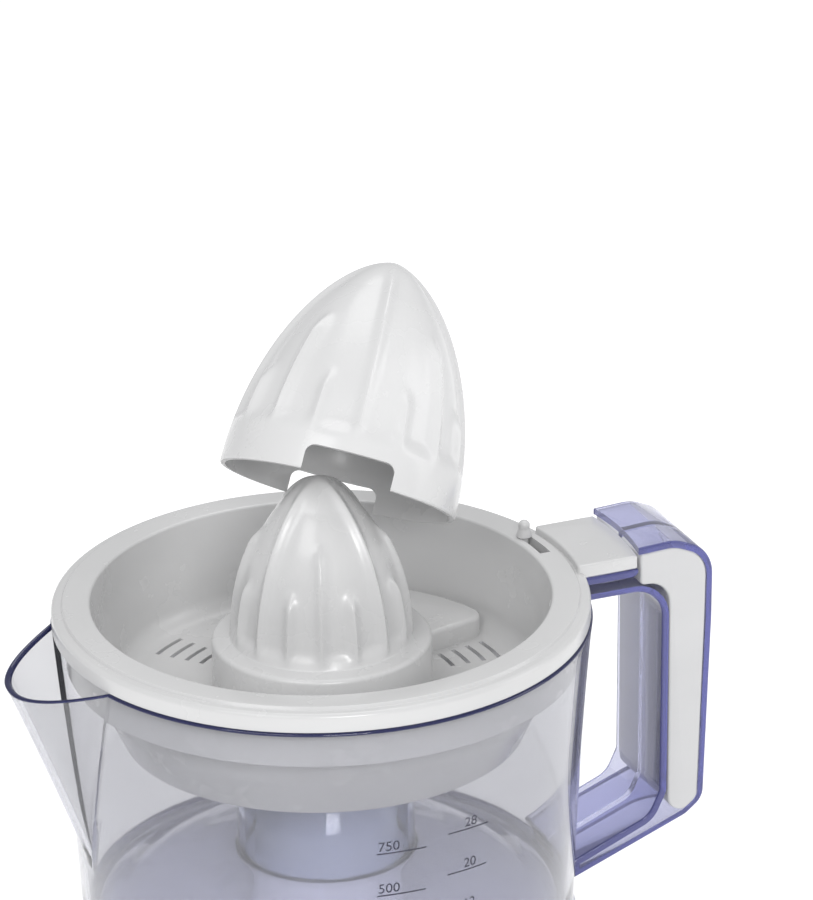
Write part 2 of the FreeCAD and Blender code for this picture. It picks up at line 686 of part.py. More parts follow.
def make_gears():
    module, fine, width = mm("gear_module"), mm("fine_module"), mm("gear_width")
    frame = mm("frame_level")
    low, high = frame + 5.0, frame + 12.5
    first, second = gear_centres()
    small_turn = meshing_turn(mm("gear_direction"), OUTPUT_TEETH, 0.0, SMALL_TEETH)
    pinion_turn = meshing_turn(mm("motor_direction"), LARGE_TEETH, 0.0, PINION_TEETH)
    output = gear_solid(module, OUTPUT_TEETH, 0.0, FreeCAD.Vector(), low, width)
    hub = Part.makeCylinder(8.0, 12.0, FreeCAD.Vector(0, 0, low))
    hexagon_bore = Part.Face(Part.makePolygon(
        [polar((mm("shaft_radius") + 0.08) * 2 / math.sqrt(3.0), 60 * k) for k in range(7)]))
    bore = hexagon_bore.extrude(FreeCAD.Vector(0, 0, 40))
    bore.translate(FreeCAD.Vector(0, 0, low - 5))
    windows = [Part.makeCylinder(4.5, 20, polar(15.5, 60 * k + 30, low - 2)) for k in range(6)]
    output = output.fuse(hub).cut(bore).cut(Part.makeCompound(windows))
    keep(shaped("OutputGear", output), "output_gear")
    pair = gear_solid(module, SMALL_TEETH, small_turn, first, low - 0.5, width + 2.0)
    wheel = gear_solid(fine, LARGE_TEETH, 0.0, first, high, 4.0)
    pair = pair.fuse(wheel).cut(Part.makeCylinder(1.55, 40, first + FreeCAD.Vector(0, 0, frame)))
    keep(shaped("IntermediateGear", pair.removeSplitter()), "intermediate_gear")
    pinion = gear_solid(fine, PINION_TEETH, pinion_turn, second, high - 1.0, 6.0)
    keep(shaped("Pinion", pinion.cut(Part.makeCylinder(1.5, 60, second))), "motor_pinion")


def make_motor():
    _, centre = gear_centres()
    x, y, radius = centre.x, centre.y, dim("motor_radius")
    top = dim("frame_level")
    shell = cylinder("MotorShell", radius, 18.0, x, y, top - 18.0)
    space = cylinder("MotorSpace", radius - 1.2, 15.6, x, y, top - 16.8)
    eye = cylinder("MotorEye", 3.0, 8.0, x, y, top - 4.0)
    keep(cut("MotorCan", shell, space, eye), "motor_can")
    ring = cylinder("CoilRing", radius - 1.8, 12.0, x, y, top - 15.0)
    keep(cut("Coil", ring, cylinder("CoilSpace", 12.5, 14.0, x, y, top - 16.0)), "stator_coil")
    magnet = cylinder("Magnet", 11.8, 12.0, x, y, top - 15.0)
    keep(cut("MagnetRing", magnet, cylinder("MagnetBore", 1.5, 14.0, x, y, top - 16.0)),
         "rotor_magnet")
    keep(cylinder("RotorShaft", 1.5, 34.5, x, y, top - 16.3), "rotor_shaft")


def make_shaft():
    """Round drive shaft with a hexagon where the gear slides and one for the cone drive."""
    bottom, top = dim("shaft_bottom_level"), dim("shaft_top_level")
    radius = dim("shaft_radius")
    across = radius * 2
    rod = cylinder("ShaftRod", radius, top - bottom, 0, 0, bottom)
    gear_hex = hexagon("ShaftGearHex", across, 15.2, dim("frame_level") + 5.6)
    top_hex = hexagon("ShaftTopHex", across, 30.0, top - 30.0)
    keep(fused("DriveShaft", [rod, gear_hex, top_hex]), "drive_shaft")
    ring = cylinder("ClipRing", 7.0, 1.0, 0, 0, dim("frame_level") + 26.0)
    bore = cylinder("ClipBore", radius, 3.0, 0, 0, dim("frame_level") + 25.0)
    keep(cut("Clip", ring, bore), "retaining_ring")
    turns, pitch, coil_radius = 4, 1.7, 5.6
    helix = Part.makeHelix(pitch, pitch * turns, coil_radius)
    section = Part.Wire(Part.makeCircle(0.45, FreeCAD.Vector(coil_radius, 0, 0),
                                        FreeCAD.Vector(0, 1, 0.048)))
    spring = Part.Wire(helix).makePipeShell([section], True, True)
    spring.translate(FreeCAD.Vector(0, 0, mm("frame_level") + 18.2))
    keep(shaped("Spring", spring), "return_spring")


def make_bushes():
    radius = dim("shaft_radius")
    frame = dim("frame_level")
    lower = fused("LowerBushSolid", [cylinder("LowerBushTube", 7.0, 9.0, 0, 0, frame - 6.0),
                                     cylinder("LowerBushLip", 9.0, 1.0, 0, 0, frame - 1.0)])
    keep(cut("LowerBush", lower, cylinder("LowerBushBore", radius + 0.05, 20.0, 0, 0, frame - 10.0)),
         "lower_bush")
    top = dim("tower_top_level")
    upper = cylinder("UpperBushTube", 8.0, 12.0, 0, 0, top - 14.4)
    keep(cut("UpperBush", upper, cylinder("UpperBushBore", radius + 0.05, 20.0, 0, 0, top - 18.0)),
         "upper_bush")
    seal = fused("SealSolid", [cylinder("SealDisc", 11.0, 1.6, 0, 0, top),
                               cylinder("SealLip", 5.6, 2.4, 0, 0, top + 1.0)])
    keep(cut("Seal", seal, cylinder("SealBore", radius + 0.08, 10.0, 0, 0, top - 2.0)), "shaft_seal")
    first, _ = gear_centres()
    keep(cylinder("Axle", 1.5, 17.0, first.x, first.y, frame), "gear_axle")


# ---------------------------------------------------------------- base

BOSS_ANGLES = (0, 90, 180, 270)
FRAME_SCREW_ANGLES = (110, 200, 290)
BOSS_CIRCLE = 69.5
FRAME_SCREW_CIRCLE = 54.0
GLAND_ANGLE = 90.0 + 22.5
FEET = ((0.0, 0), (64.0, 45), (64.0, 135), (64.0, 225), (64.0, 315))


def posts(name, radius, height, circle, angles, low):
    """Group of equal cylinders on a circle."""
    return [cylinder(f"{name}{angle}", radius, height, polar(circle, angle).x,
                     polar(circle, angle).y, low) for angle in angles]


def make_base():
    wall, bottom = dim("wall"), dim("plate_bottom_level")
    shelf, plateau = dim("jug_bottom_level"), dim("base_plateau_level")
    radius, inner = dim("base_radius"), dim("base_plateau_radius")
    tower, top = dim("tower_radius"), dim("tower_top_level")
    shell = revolved("BaseShell", [
        (radius, bottom), (radius - 0.8, shelf - 1.0), (radius - 1.8, shelf, 1.0),
        (inner + 1.0, shelf), (inner, plateau - 1.5), (inner - 1.5, plateau, 1.5),
        (tower + 4.0, plateau), (tower + 0.4, plateau + 3.6, -3.6),
        (tower - 0.4, top - 1.5), (tower - 1.9, top, 1.5), (9.2 - 0.6, top), (9.2 - 0.6, top - wall),
        (tower - wall - 0.4, top - wall), (tower - wall, plateau - wall),
        (inner - wall, plateau - wall), (inner - wall, shelf - wall),
        (radius - wall - 0.8, shelf - wall - 3.0), (radius - wall, bottom)])
    low = bottom + 2.4
    bosses = posts("Boss", 4.2, plateau - wall - low + 0.2, BOSS_CIRCLE, BOSS_ANGLES, low)
    hangers = posts("Hanger", 4.2, plateau - wall - dim("frame_level") - 1.8, FRAME_SCREW_CIRCLE,
                    FRAME_SCREW_ANGLES, dim("frame_level") + 2.0)
    collar = cut("BushCollar", cylinder("CollarTube", 10.2, 12.0, 0, 0, top - 14.0),
                 cylinder("CollarBore", 8.0, 20.0, 0, 0, top - 18.0))
    web = cylinder("CollarWeb", tower - 1.0, 2.0, 0, 0, top - 14.4)
    solid = fused("BaseSolid", [shell, collar, *bosses, *hangers,
                                cut("WebRing", web, cylinder("WebBore", 8.0, 8.0, 0, 0, top - 17.0))])
    drills = posts("BossDrill", 1.5, 16.0, BOSS_CIRCLE, BOSS_ANGLES, low - 1.0)
    drills += posts("HangerDrill", 1.5, 12.0, FRAME_SCREW_CIRCLE, FRAME_SCREW_ANGLES,
                    dim("frame_level"))
    gland = Part.makeCylinder(5.2, 20, polar(70.0, GLAND_ANGLE, 16.0), polar(1.0, GLAND_ANGLE))
    whole = cut("Base", solid, *drills, shaped("GlandHole", gland))
    doc.recompute()
    split = Part.makeCylinder(mm("tower_radius") + 8, mm("tower_top_level"),
                              FreeCAD.Vector(0, 0, mm("tower_foot_level")))
    keep(shaped("Housing", whole.Shape.cut(split)), "base_housing")
    keep(shaped("Tower", whole.Shape.common(split)), "base_tower")


def make_plate():
    """Bottom cover with vents, screw recesses and holes for the feet."""
    low = dim("plate_bottom_level")
    disc = cylinder("PlateDisc", dim("base_radius") - 2.6, 2.2, 0, 0, low)
    vents = []
    for ring in range(4):
        for start in range(0, 360, 60):
            radius = 24.0 + 6.0 * ring
            vents.append(sector(radius, radius + 2.4, start + 6, start + 54,
                                mm("plate_bottom_level") - 1, 5))
    holes = posts("PlateHole", 1.7, 6.0, BOSS_CIRCLE, BOSS_ANGLES, low - 2.0)
    for index, (circle, angle) in enumerate(FEET):
        place = polar(circle, angle)
        holes.append(cylinder(f"FootHole{index}", 3.0, 6.0, place.x, place.y, low - 2.0))
    keep(cut("Plate", disc, *holes, shaped("Vents", Part.makeCompound(vents))), "base_plate")


def make_feet():
    """Four feet near the edge and one in the middle."""
    feet = []
    for index, (circle, angle) in enumerate(FEET):
        place = polar(circle, angle)
        pad = cylinder(f"FootPad{index}", 7.5, dim("plate_bottom_level"), place.x, place.y, 0)
        stem = cylinder(f"FootStem{index}", 3.0, 2.2, place.x, place.y, dim("plate_bottom_level"))
        feet.append(fused(f"Foot{index}", [pad, stem]))
    group = doc.addObject("Part::Compound", "Feet")
    group.Links = feet
    keep(group, "rubber_feet")


def make_screws():
    """Plastite screws: four from below through the plate, three up through the gear frame."""
    for label, circle, angles, head in (
            ("base_screws", BOSS_CIRCLE, BOSS_ANGLES, dim("plate_bottom_level") - 2.0),
            ("gear_frame_screws", FRAME_SCREW_CIRCLE, FRAME_SCREW_ANGLES, dim("frame_level") - 2.0)):
        screws = []
        for angle in angles:
            place = polar(circle, angle)
            head_solid = cylinder(f"{label}Head{angle}", 3.2, 2.0, place.x, place.y, head)
            shank = cylinder(f"{label}Shank{angle}", 1.5, 13.0, place.x, place.y, head)
            recess = cylinder(f"{label}Drive{angle}", 1.1, 1.2, place.x, place.y, head)
            screws.append(cut(f"{label}Screw{angle}",
                              fused(f"{label}Solid{angle}", [head_solid, shank]), recess))
        group = doc.addObject("Part::Compound", label)
        group.Links = screws
        keep(group, label)


def make_gear_frame():
    """Steel plate that carries the motor, the axle and the lower bush."""
    frame = dim("frame_level")
    first, second = gear_centres()
    disc = cylinder("FrameDisc", 60.0, 2.0, 0, 0, frame)
    holes = posts("FrameHole", 1.7, 6.0, FRAME_SCREW_CIRCLE, FRAME_SCREW_ANGLES, frame - 2.0)
    holes.append(cylinder("FrameBushHole", 7.0, 6.0, 0, 0, frame - 2.0))
    holes.append(cylinder("FrameAxleHole", 1.5, 6.0, first.x, first.y, frame - 2.0))
    holes.append(cylinder("FrameShaftHole", 3.0, 6.0, second.x, second.y, frame - 2.0))
    keep(cut("Frame", disc, *holes), "gear_frame")


def make_electrics():
    """Start switch under the shaft, its plunger, the terminal block and the cord's gland."""
    plate_top = mm("plate_bottom_level") + 2.2
    body = Part.makeBox(20.0, 6.4, 6.6, FreeCAD.Vector(-10.0, -3.2, plate_top))
    body = body.cut(Part.makeBox(3.4, 2.4, 5.0, FreeCAD.Vector(-1.7, -1.2, plate_top + 3.0)))
    keep(shaped("SwitchBody", body), "switch_body")
    plunger = Part.makeBox(3.0, 2.0, 3.2, FreeCAD.Vector(-1.5, -1.0, plate_top + 5.8))
    keep(shaped("SwitchPlunger", plunger.makeFillet(0.5, plunger.Edges[-4:])), "switch_plunger")
    block = Part.makeBox(16.0, 8.0, 9.0, FreeCAD.Vector(-38.0, 30.0, plate_top))
    for index in range(2):
        block = block.cut(Part.makeCylinder(
            1.6, 5.0, FreeCAD.Vector(-34.0 + 8.0 * index, 34.0, plate_top + 5.0)))
    keep(shaped("TerminalBlock", block), "terminal_block")
    outward = polar(1.0, GLAND_ANGLE)
    start = polar(mm("base_radius") - 6.0, GLAND_ANGLE, 16.0)
    gland = Part.makeCylinder(5.1, 12.0, start, outward)
    gland = gland.fuse(Part.makeCylinder(6.6, 1.6, start + outward * 7.0, outward))
    gland = gland.fuse(Part.makeCylinder(6.6, 1.4, start + outward * 1.6, outward))
    gland = gland.cut(Part.makeCylinder(3.2, 40.0, start - outward * 8.0, outward))
    keep(shaped("CordGland", gland), "cord_gland")


def make_drive_hub():
    """Hub that turns in the strainer's neck, over the shaft, and carries the small cone."""
    neck_top = rim_drop("neck_drop")
    tube = cylinder("HubTube", 8.6, 7.5, 0, 0, neck_top - 5.5)
    flange = cylinder("HubFlange", 13.0, 1.4, 0, 0, neck_top + 0.2)
    spigot = cylinder("HubSpigot", 7.7, 19.0, 0, 0, neck_top + 1.0)
    solid = fused("HubSolid", [tube, flange, spigot])
    bore = hexagon("HubBore", dim("shaft_radius") * 2 + 0.5, 60.0, neck_top - 20.0)
    keep(cut("DriveHub", solid, bore), "drive_hub")


make_base()
make_plate()
make_feet()
make_screws()
make_gear_frame()
make_motor()
make_gears()
make_shaft()
make_bushes()
make_electrics()
make_jug()
make_handle_inserts()
make_strainer()
make_pulp_control()
make_drive_hub()
make_small_cone()
make_large_cone()
doc.recompute()

for item in doc.Objects:
    if "Invalid" in item.State or "Error" in item.State:
        raise RuntimeError(f"{item.Name} did not rebuild")
for piece in nodes:
    shape = piece.Shape
    if shape.isNull() or not shape.isValid() or not shape.Solids:
        raise RuntimeError(f"{piece.Label} has no valid solid")
    shape.exportStep(f"parts/{piece.Label}.step")
    print(f"{piece.Label}: {len(shape.Solids)} solid, {shape.Volume / 1000:.2f} cm3")
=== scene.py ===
import json
import math

import bmesh
import bpy
from mathutils import Matrix, Vector


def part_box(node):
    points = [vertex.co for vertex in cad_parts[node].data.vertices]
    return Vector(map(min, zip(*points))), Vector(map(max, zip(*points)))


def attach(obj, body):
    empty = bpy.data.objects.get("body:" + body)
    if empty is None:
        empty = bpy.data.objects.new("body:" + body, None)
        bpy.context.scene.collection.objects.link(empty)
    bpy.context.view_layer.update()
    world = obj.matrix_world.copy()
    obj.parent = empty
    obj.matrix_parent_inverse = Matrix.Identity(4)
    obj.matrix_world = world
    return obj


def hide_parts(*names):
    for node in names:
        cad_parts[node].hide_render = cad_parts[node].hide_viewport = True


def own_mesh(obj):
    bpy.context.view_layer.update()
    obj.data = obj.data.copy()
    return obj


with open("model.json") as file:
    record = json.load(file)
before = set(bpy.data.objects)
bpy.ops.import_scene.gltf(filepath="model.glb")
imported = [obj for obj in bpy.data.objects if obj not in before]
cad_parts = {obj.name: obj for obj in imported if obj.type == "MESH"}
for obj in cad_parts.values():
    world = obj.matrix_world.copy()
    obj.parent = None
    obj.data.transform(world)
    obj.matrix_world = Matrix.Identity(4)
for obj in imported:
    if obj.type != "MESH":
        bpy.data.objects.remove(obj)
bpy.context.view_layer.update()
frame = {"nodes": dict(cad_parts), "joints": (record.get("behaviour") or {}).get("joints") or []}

MM = 0.001
RIM = 170.0                 # rim plane of the strainer above the table, mm
CAMERA_SIDE = -110.5        # plan angle that faces the camera, degrees
TURN_STEPS = 192            # columns of a turned piece


# ---------------------------------------------------------------- mesh helpers

def polar(radius, degrees, level=0.0):
    angle = math.radians(degrees)
    return Vector((radius * math.cos(angle), radius * math.sin(angle), level))


def smoothstep(low, high, value):
    share = min(max((value - low) / (high - low), 0.0), 1.0)
    return share * share * (3 - 2 * share)


def rounded(corners, steps=5, closed=True):
    """Points of an outline whose (x, z, radius) corners are rounded by arcs."""
    points = []
    count = len(corners)
    for index, (x, z, radius) in enumerate(corners):
        here = Vector((x, z))
        if radius <= 0 or (not closed and index in (0, count - 1)):
            points.append(here)
            continue
        before = (Vector(corners[index - 1][:2]) - here).normalized()
        after = (Vector(corners[(index + 1) % count][:2]) - here).normalized()
        half = before.angle(after) / 2
        reach = radius / math.tan(half)
        middle = (before + after).normalized()
        centre = here + middle * (radius / math.sin(half))
        start, end = here + before * reach - centre, here + after * reach - centre
        sweep = start.angle_signed(end)
        for step in range(steps + 1):
            angle = -sweep * step / steps
            spun = Vector((start.x * math.cos(angle) - start.y * math.sin(angle),
                           start.x * math.sin(angle) + start.y * math.cos(angle)))
            points.append(centre + spun)
    return points


def mesh_piece(name, points, faces, sharp=40.0):
    """Object from points in millimetres, with smooth shading and outward faces."""
    mesh = bpy.data.meshes.new(name)
    mesh.from_pydata([Vector(point) * MM for point in points], [], faces)
    work = bmesh.new()
    work.from_mesh(mesh)
    bmesh.ops.remove_doubles(work, verts=work.verts, dist=2e-6)
    bmesh.ops.recalc_face_normals(work, faces=work.faces)
    work.to_mesh(mesh)
    work.free()
    piece = bpy.data.objects.new(name, mesh)
    bpy.context.scene.collection.objects.link(piece)
    shade(piece, sharp)
    return piece


def shade(piece, sharp=40.0):
    piece.data.shade_smooth()
    piece.data.set_sharp_from_angle(angle=math.radians(sharp))


def grid_faces(rows, columns, loop_rows=True):
    """Quads of a grid that closes around its columns, and around its rows as well if asked."""
    faces = []
    for row in range(rows if loop_rows else rows - 1):
        above = (row + 1) % rows
        for column in range(columns):
            beside = (column + 1) % columns
            faces.append((row * columns + column, row * columns + beside,
                          above * columns + beside, above * columns + column))
    return faces


def band_faces(steps):
    """Faces of a closed band with four points at each of its steps, ends included."""
    faces = []
    for step in range(steps):
        base = 4 * step
        faces += [(base + k, base + 4 + k, base + 4 + (k + 1) % 4, base + (k + 1) % 4) for k in range(4)]
    return faces + [(0, 1, 2, 3), (4 * steps + 3, 4 * steps + 2, 4 * steps + 1, 4 * steps)]


def turned(name, outline, steps=TURN_STEPS):
    """Solid of revolution from an outline of (radius, height) points."""
    points = []
    for radius, level in outline:
        points += [polar(radius, 360.0 * step / steps, level) for step in range(steps)]
    return mesh_piece(name, points, grid_faces(len(outline), steps))


def slab(name, outline, low, high, edge=0.0, segments=3, flat=False):
    """Plate in the XZ plane between two Y values, or flat between two heights."""
    count = len(outline)
    if flat:
        points = [(x, y, level) for level in (low, high) for x, y in outline]
    else:
        points = [(x, level, z) for level in (low, high) for x, z in outline]
    faces = [tuple(range(count)), tuple(range(2 * count - 1, count - 1, -1))]
    faces += [(i, (i + 1) % count, count + (i + 1) % count, count + i) for i in range(count)]
    piece = mesh_piece(name, points, faces)
    if edge:
        soften(piece, edge, segments)
    return piece


def soften(piece, width, segments=3, angle=50.0):
    """Round every edge sharper than the angle."""
    bevel = piece.modifiers.new("round", "BEVEL")
    bevel.width = width * MM
    bevel.segments = segments
    bevel.limit_method = "ANGLE"
    bevel.angle_limit = math.radians(angle)
    bake_modifiers(piece)


def bake_modifiers(piece):
    graph = bpy.context.evaluated_depsgraph_get()
    mesh = bpy.data.meshes.new_from_object(piece.evaluated_get(graph))
    piece.modifiers.clear()
    piece.data = mesh
    shade(piece)


def combine(piece, tool, operation):
    """Exact boolean of two closed pieces; the tool is used up."""
    step = piece.modifiers.new("combine", "BOOLEAN")
    step.operation = operation
    step.solver = "EXACT"
    step.object = tool
    bake_modifiers(piece)
    bpy.data.objects.remove(tool)


def joined(name, pieces):
    """One object out of several closed meshes that stay separate shells."""
    work = bmesh.new()
    for piece in pieces:
        work.from_mesh(piece.data)
        bpy.data.objects.remove(piece)
    mesh = bpy.data.meshes.new(name)
    work.to_mesh(mesh)
    work.free()
    whole = bpy.data.objects.new(name, mesh)
    bpy.context.scene.collection.objects.link(whole)
    shade(whole)
    return whole


def place(piece, body, material, slot, *nodes):
    """Give the piece its material and its body, and hide the CAD nodes it stands for."""
    piece.data.materials.clear()
    piece.data.materials.append(material)
    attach(piece, body)
    if nodes:
        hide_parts(*nodes)
    return piece


# ---------------------------------------------------------------- materials

class Nodes:
    """Short way to add and link shader nodes."""

    def __init__(self, name):
        self.material = bpy.data.materials.new(name)
        self.material.use_nodes = True
        self.tree = self.material.node_tree
        self.shader = self.tree.nodes["Principled BSDF"]
        self.output = self.tree.nodes["Material Output"]
        self.place = self.add("ShaderNodeTexCoord").outputs["Object"]

    def add(self, kind, **settings):
        node = self.tree.nodes.new(kind)
        for key, value in settings.items():
            setattr(node, key, value)
        return node

    def link(self, source, target):
        self.tree.links.new(source, target)

    def noise(self, scale, detail=4.0, stretch=None):
        node = self.add("ShaderNodeTexNoise")
        node.inputs["Scale"].default_value = scale
        node.inputs["Detail"].default_value = detail
        if stretch:
            spread = self.add("ShaderNodeMapping")
            spread.inputs["Scale"].default_value = stretch
            self.link(self.place, spread.inputs["Vector"])
            self.link(spread.outputs["Vector"], node.inputs["Vector"])
        else:
            self.link(self.place, node.inputs["Vector"])
        return node.outputs["Fac"]

    def ranged(self, source, low, high, start=0.3, end=0.7):
        node = self.add("ShaderNodeMapRange")
        for key, value in (("From Min", start), ("From Max", end), ("To Min", low), ("To Max", high)):
            node.inputs[key].default_value = value
        self.link(source, node.inputs["Value"])
        return node.outputs["Result"]

    def blend(self, factor, first, second):
        node = self.add("ShaderNodeMix", data_type="RGBA")
        node.inputs["A"].default_value = (*first, 1.0)
        node.inputs["B"].default_value = (*second, 1.0)
        self.link(factor, node.inputs["Factor"])
        return node.outputs["Result"]

    def bump(self, height, distance, strength=1.0):
        node = self.add("ShaderNodeBump")
        node.inputs["Strength"].default_value = strength
        node.inputs["Distance"].default_value = distance
        self.link(height, node.inputs["Height"])
        self.link(node.outputs["Normal"], self.shader.inputs["Normal"])


def moulded(name, colour, roughness, grain=900.0, depth=0.00002, coat=0.0):
    """Injection-moulded plastic: faint flow shade, uneven gloss and a fine skin."""
    nodes = Nodes(name)
    shader = nodes.shader
    paler = tuple(min(value * 1.03, 1.0) for value in colour)
    darker = tuple(value * 0.955 for value in colour)
    flow = nodes.noise(14.0, 3.0, (1.0, 1.0, 2.6))
    nodes.link(nodes.blend(nodes.ranged(flow, 0.0, 1.0), darker, paler), shader.inputs["Base Color"])
    haze, spread = nodes.noise(60.0, 6.0), 0.06
    nodes.link(nodes.ranged(haze, roughness - spread, roughness + spread), shader.inputs["Roughness"])
    nodes.bump(nodes.noise(grain, 3.0), depth)
    shader.inputs["Specular IOR Level"].default_value = 0.5
    shader.inputs["Coat Weight"].default_value = coat
    shader.inputs["Coat Roughness"].default_value = 0.12
    return nodes.material


def clear_plastic(name, tint, shadow, body):
    """Tinted clear plastic with a little body colour; long paths through it turn violet-blue."""
    nodes = Nodes(name)
    shader = nodes.shader
    shader.inputs["Base Color"].default_value = (*tint, 1.0)
    shader.inputs["Transmission Weight"].default_value = 1.0 - body
    shader.inputs["IOR"].default_value = 1.49
    nodes.link(nodes.ranged(nodes.noise(30.0, 5.0), 0.015, 0.05), shader.inputs["Roughness"])
    nodes.bump(nodes.noise(34.0, 2.0), 0.00006, 0.5)
    path = nodes.add("ShaderNodeLightPath")
    through = nodes.add("ShaderNodeBsdfTransparent")
    through.inputs["Color"].default_value = (*shadow, 1.0)
    mix = nodes.add("ShaderNodeMixShader")
    nodes.link(path.outputs["Is Shadow Ray"], mix.inputs["Fac"])
    nodes.link(shader.outputs["BSDF"], mix.inputs[1])
    nodes.link(through.outputs["BSDF"], mix.inputs[2])
    nodes.link(mix.outputs["Shader"], nodes.output.inputs["Surface"])
    depth = nodes.add("ShaderNodeVolumeAbsorption")
    depth.inputs["Color"].default_value = (0.16, 0.18, 0.48, 1.0)
    depth.inputs["Density"].default_value = 34.0
    nodes.link(depth.outputs["Volume"], nodes.output.inputs["Volume"])
    return nodes.material


def metal(name, colour, roughness, stretch):
    """Turned, rolled or plated metal with fine drawn lines."""
    nodes = Nodes(name)
    shader = nodes.shader
    lines = nodes.noise(420.0, 4.0, stretch)
    darker = tuple(value * 0.82 for value in colour)
    nodes.link(nodes.blend(nodes.ranged(lines, 0.0, 1.0), darker, colour), shader.inputs["Base Color"])
    shader.inputs["Metallic"].default_value = 1.0
    nodes.link(nodes.ranged(lines, roughness - 0.08, roughness + 0.1), shader.inputs["Roughness"])
    nodes.bump(lines, 0.00001)
    return nodes.material


def soft_rubber(name, colour):
    nodes = Nodes(name)
    shader = nodes.shader
    dust = nodes.noise(90.0, 8.0)
    paler = tuple(value * 1.9 + 0.01 for value in colour)
    nodes.link(nodes.blend(nodes.ranged(dust, 0.0, 1.0, 0.45, 0.8), colour, paler),
               shader.inputs["Base Color"])
    nodes.link(nodes.ranged(dust, 0.62, 0.85), shader.inputs["Roughness"])
    nodes.bump(nodes.noise(1500.0, 2.0), 0.00003)
    return nodes.material


def winding():
    """Enamelled copper wire laid round the coil; the darker copper in the grooves between the turns is
    painted shade.
    """
    nodes = Nodes("copper_winding")
    shader = nodes.shader
    wave = nodes.add("ShaderNodeTexWave", bands_direction="Z")
    wave.inputs["Scale"].default_value = 700.0
    nodes.link(nodes.place, wave.inputs["Vector"])
    nodes.link(nodes.blend(wave.outputs["Fac"], (0.30, 0.10, 0.03), (0.72, 0.34, 0.14)),
               shader.inputs["Base Color"])
    shader.inputs["Metallic"].default_value = 0.7
    shader.inputs["Roughness"].default_value = 0.34
    nodes.bump(wave.outputs["Fac"], 0.0002)
    return nodes.material


def ink():
    """Printed scale: slightly worn grey-black ink."""
    nodes = Nodes("scale_ink")
    wear = nodes.ranged(nodes.noise(1800.0, 3.0), 0.0, 1.0, 0.35, 0.75)
    nodes.link(nodes.blend(wear, (0.018, 0.018, 0.03), (0.06, 0.06, 0.09)),
               nodes.shader.inputs["Base Color"])
    nodes.link(nodes.ranged(wear, 0.4, 0.6, 0.0, 1.0), nodes.shader.inputs["Roughness"])
    return nodes.material


WHITE = moulded("white_gloss", (0.61, 0.61, 0.61), 0.24, coat=0.15)
CONE_WHITE = moulded("white_cone", (0.665, 0.665, 0.665), 0.26, coat=0.1)
SATIN_WHITE = moulded("white_satin", (0.57, 0.57, 0.575), 0.38, 1400.0, 0.00003)
CLEAR = clear_plastic("clear_wall", (0.74, 0.74, 0.745), (0.95, 0.95, 0.96), 0.05)
# painted shade: darker navy copies of the clear plastic for the lip, flange edges and handle, standing in
# for light running along the plastic
CLEAR_LIP_PAINTED_SHADE = clear_plastic("clear_lip_painted_shade", (0.07, 0.08, 0.28), (0.5, 0.5, 0.75), 0.25)
CLEAR_EDGE_PAINTED_SHADE = clear_plastic("clear_edge_painted_shade", (0.22, 0.23, 0.62), (0.7, 0.7, 0.9), 0.35)
CLEAR_HANDLE_PAINTED_SHADE = clear_plastic("clear_handle_painted_shade", (0.74, 0.75, 0.92), (0.90, 0.90, 0.96), 0.15)
# painted light: a paler lavender copy of the clear plastic for the jug floor, brightening the shaded
# region over the base
CLEAR_FLOOR_PAINTED_LIGHT = clear_plastic("clear_floor_painted_light", (0.90, 0.91, 0.99), (0.97, 0.97, 0.98), 0.18)
# painted shade: a darker blue copy of the clear plastic for the jug's centre column
CLEAR_COLUMN_PAINTED_SHADE = clear_plastic("clear_column_painted_shade", (0.66, 0.70, 0.82), (0.97, 0.97, 0.98), 0.08)
# painted light: a brighter, lavender copy of the white plastic for the base seen through the jug, making
# up for light lost through the clear plastic
BASE_PAINTED_LIGHT = moulded("white_base_painted_light", (0.80, 0.80, 0.84), 0.30)
GEAR_PLASTIC = moulded("acetal", (0.74, 0.72, 0.64), 0.42)
DARK_PLASTIC = moulded("dark_plastic", (0.035, 0.035, 0.04), 0.45)
RUBBER = soft_rubber("rubber", (0.022, 0.022, 0.024))
STEEL = metal("turned_steel", (0.60, 0.60, 0.62), 0.26, (1.0, 1.0, 12.0))
ZINC = metal("zinc_plate", (0.66, 0.67, 0.68), 0.38, (6.0, 1.0, 1.0))
BRONZE = metal("sintered_bronze", (0.50, 0.33, 0.17), 0.45, (1.0, 1.0, 1.0))
FERRITE = moulded("ferrite", (0.05, 0.05, 0.055), 0.5, 2500.0, 0.00005)
COPPER = winding()
INK = ink()


# ---------------------------------------------------------------- jug

JUG_TOP = RIM - 7.0
JUG_BOTTOM = 58.0
TOP_RADIUS, MIDDLE_RADIUS, BOTTOM_RADIUS = 84.6, 80.7, 78.3
WALL = 2.2
SPOUT_FOOT = 93.0
SPOUT_HALF_WIDTH = 28.0
SPOUT_REACH = 103.0
SPOUT_FALL = 6.3            # how much lower the lip is at the tip
SPOUT_COLUMNS = 56
JUG_COLUMNS = 232


def jug_radius(level):
    """Outer wall radius: a gentle curve through the bottom, middle and top sizes."""
    share = (level - JUG_BOTTOM) / (JUG_TOP - JUG_BOTTOM)
    return (BOTTOM_RADIUS * (1 - share) * (1 - 2 * share) + MIDDLE_RADIUS * 4 * share * (1 - share)
            + TOP_RADIUS * share * (2 * share - 1))


def spout_place(side, level):
    """Plan angle from the spout's middle, reach beyond the wall and lip fall, for side -1 to 1."""
    root = math.sqrt(TOP_RADIUS ** 2 - SPOUT_HALF_WIDTH ** 2)
    drawn = abs(side) ** 2.2
    x = SPOUT_REACH - (SPOUT_REACH - root) * drawn
    y = SPOUT_HALF_WIDTH * side
    rise = min(max((level - SPOUT_FOOT) / (JUG_TOP - SPOUT_FOOT), 0.0), 1.0)
    angle = math.degrees(math.atan2(y, x)) * rise + 2.5 * side * (1 - rise)
    return angle, (math.hypot(x, y) - TOP_RADIUS) * rise, SPOUT_FALL * (1 - drawn) * rise


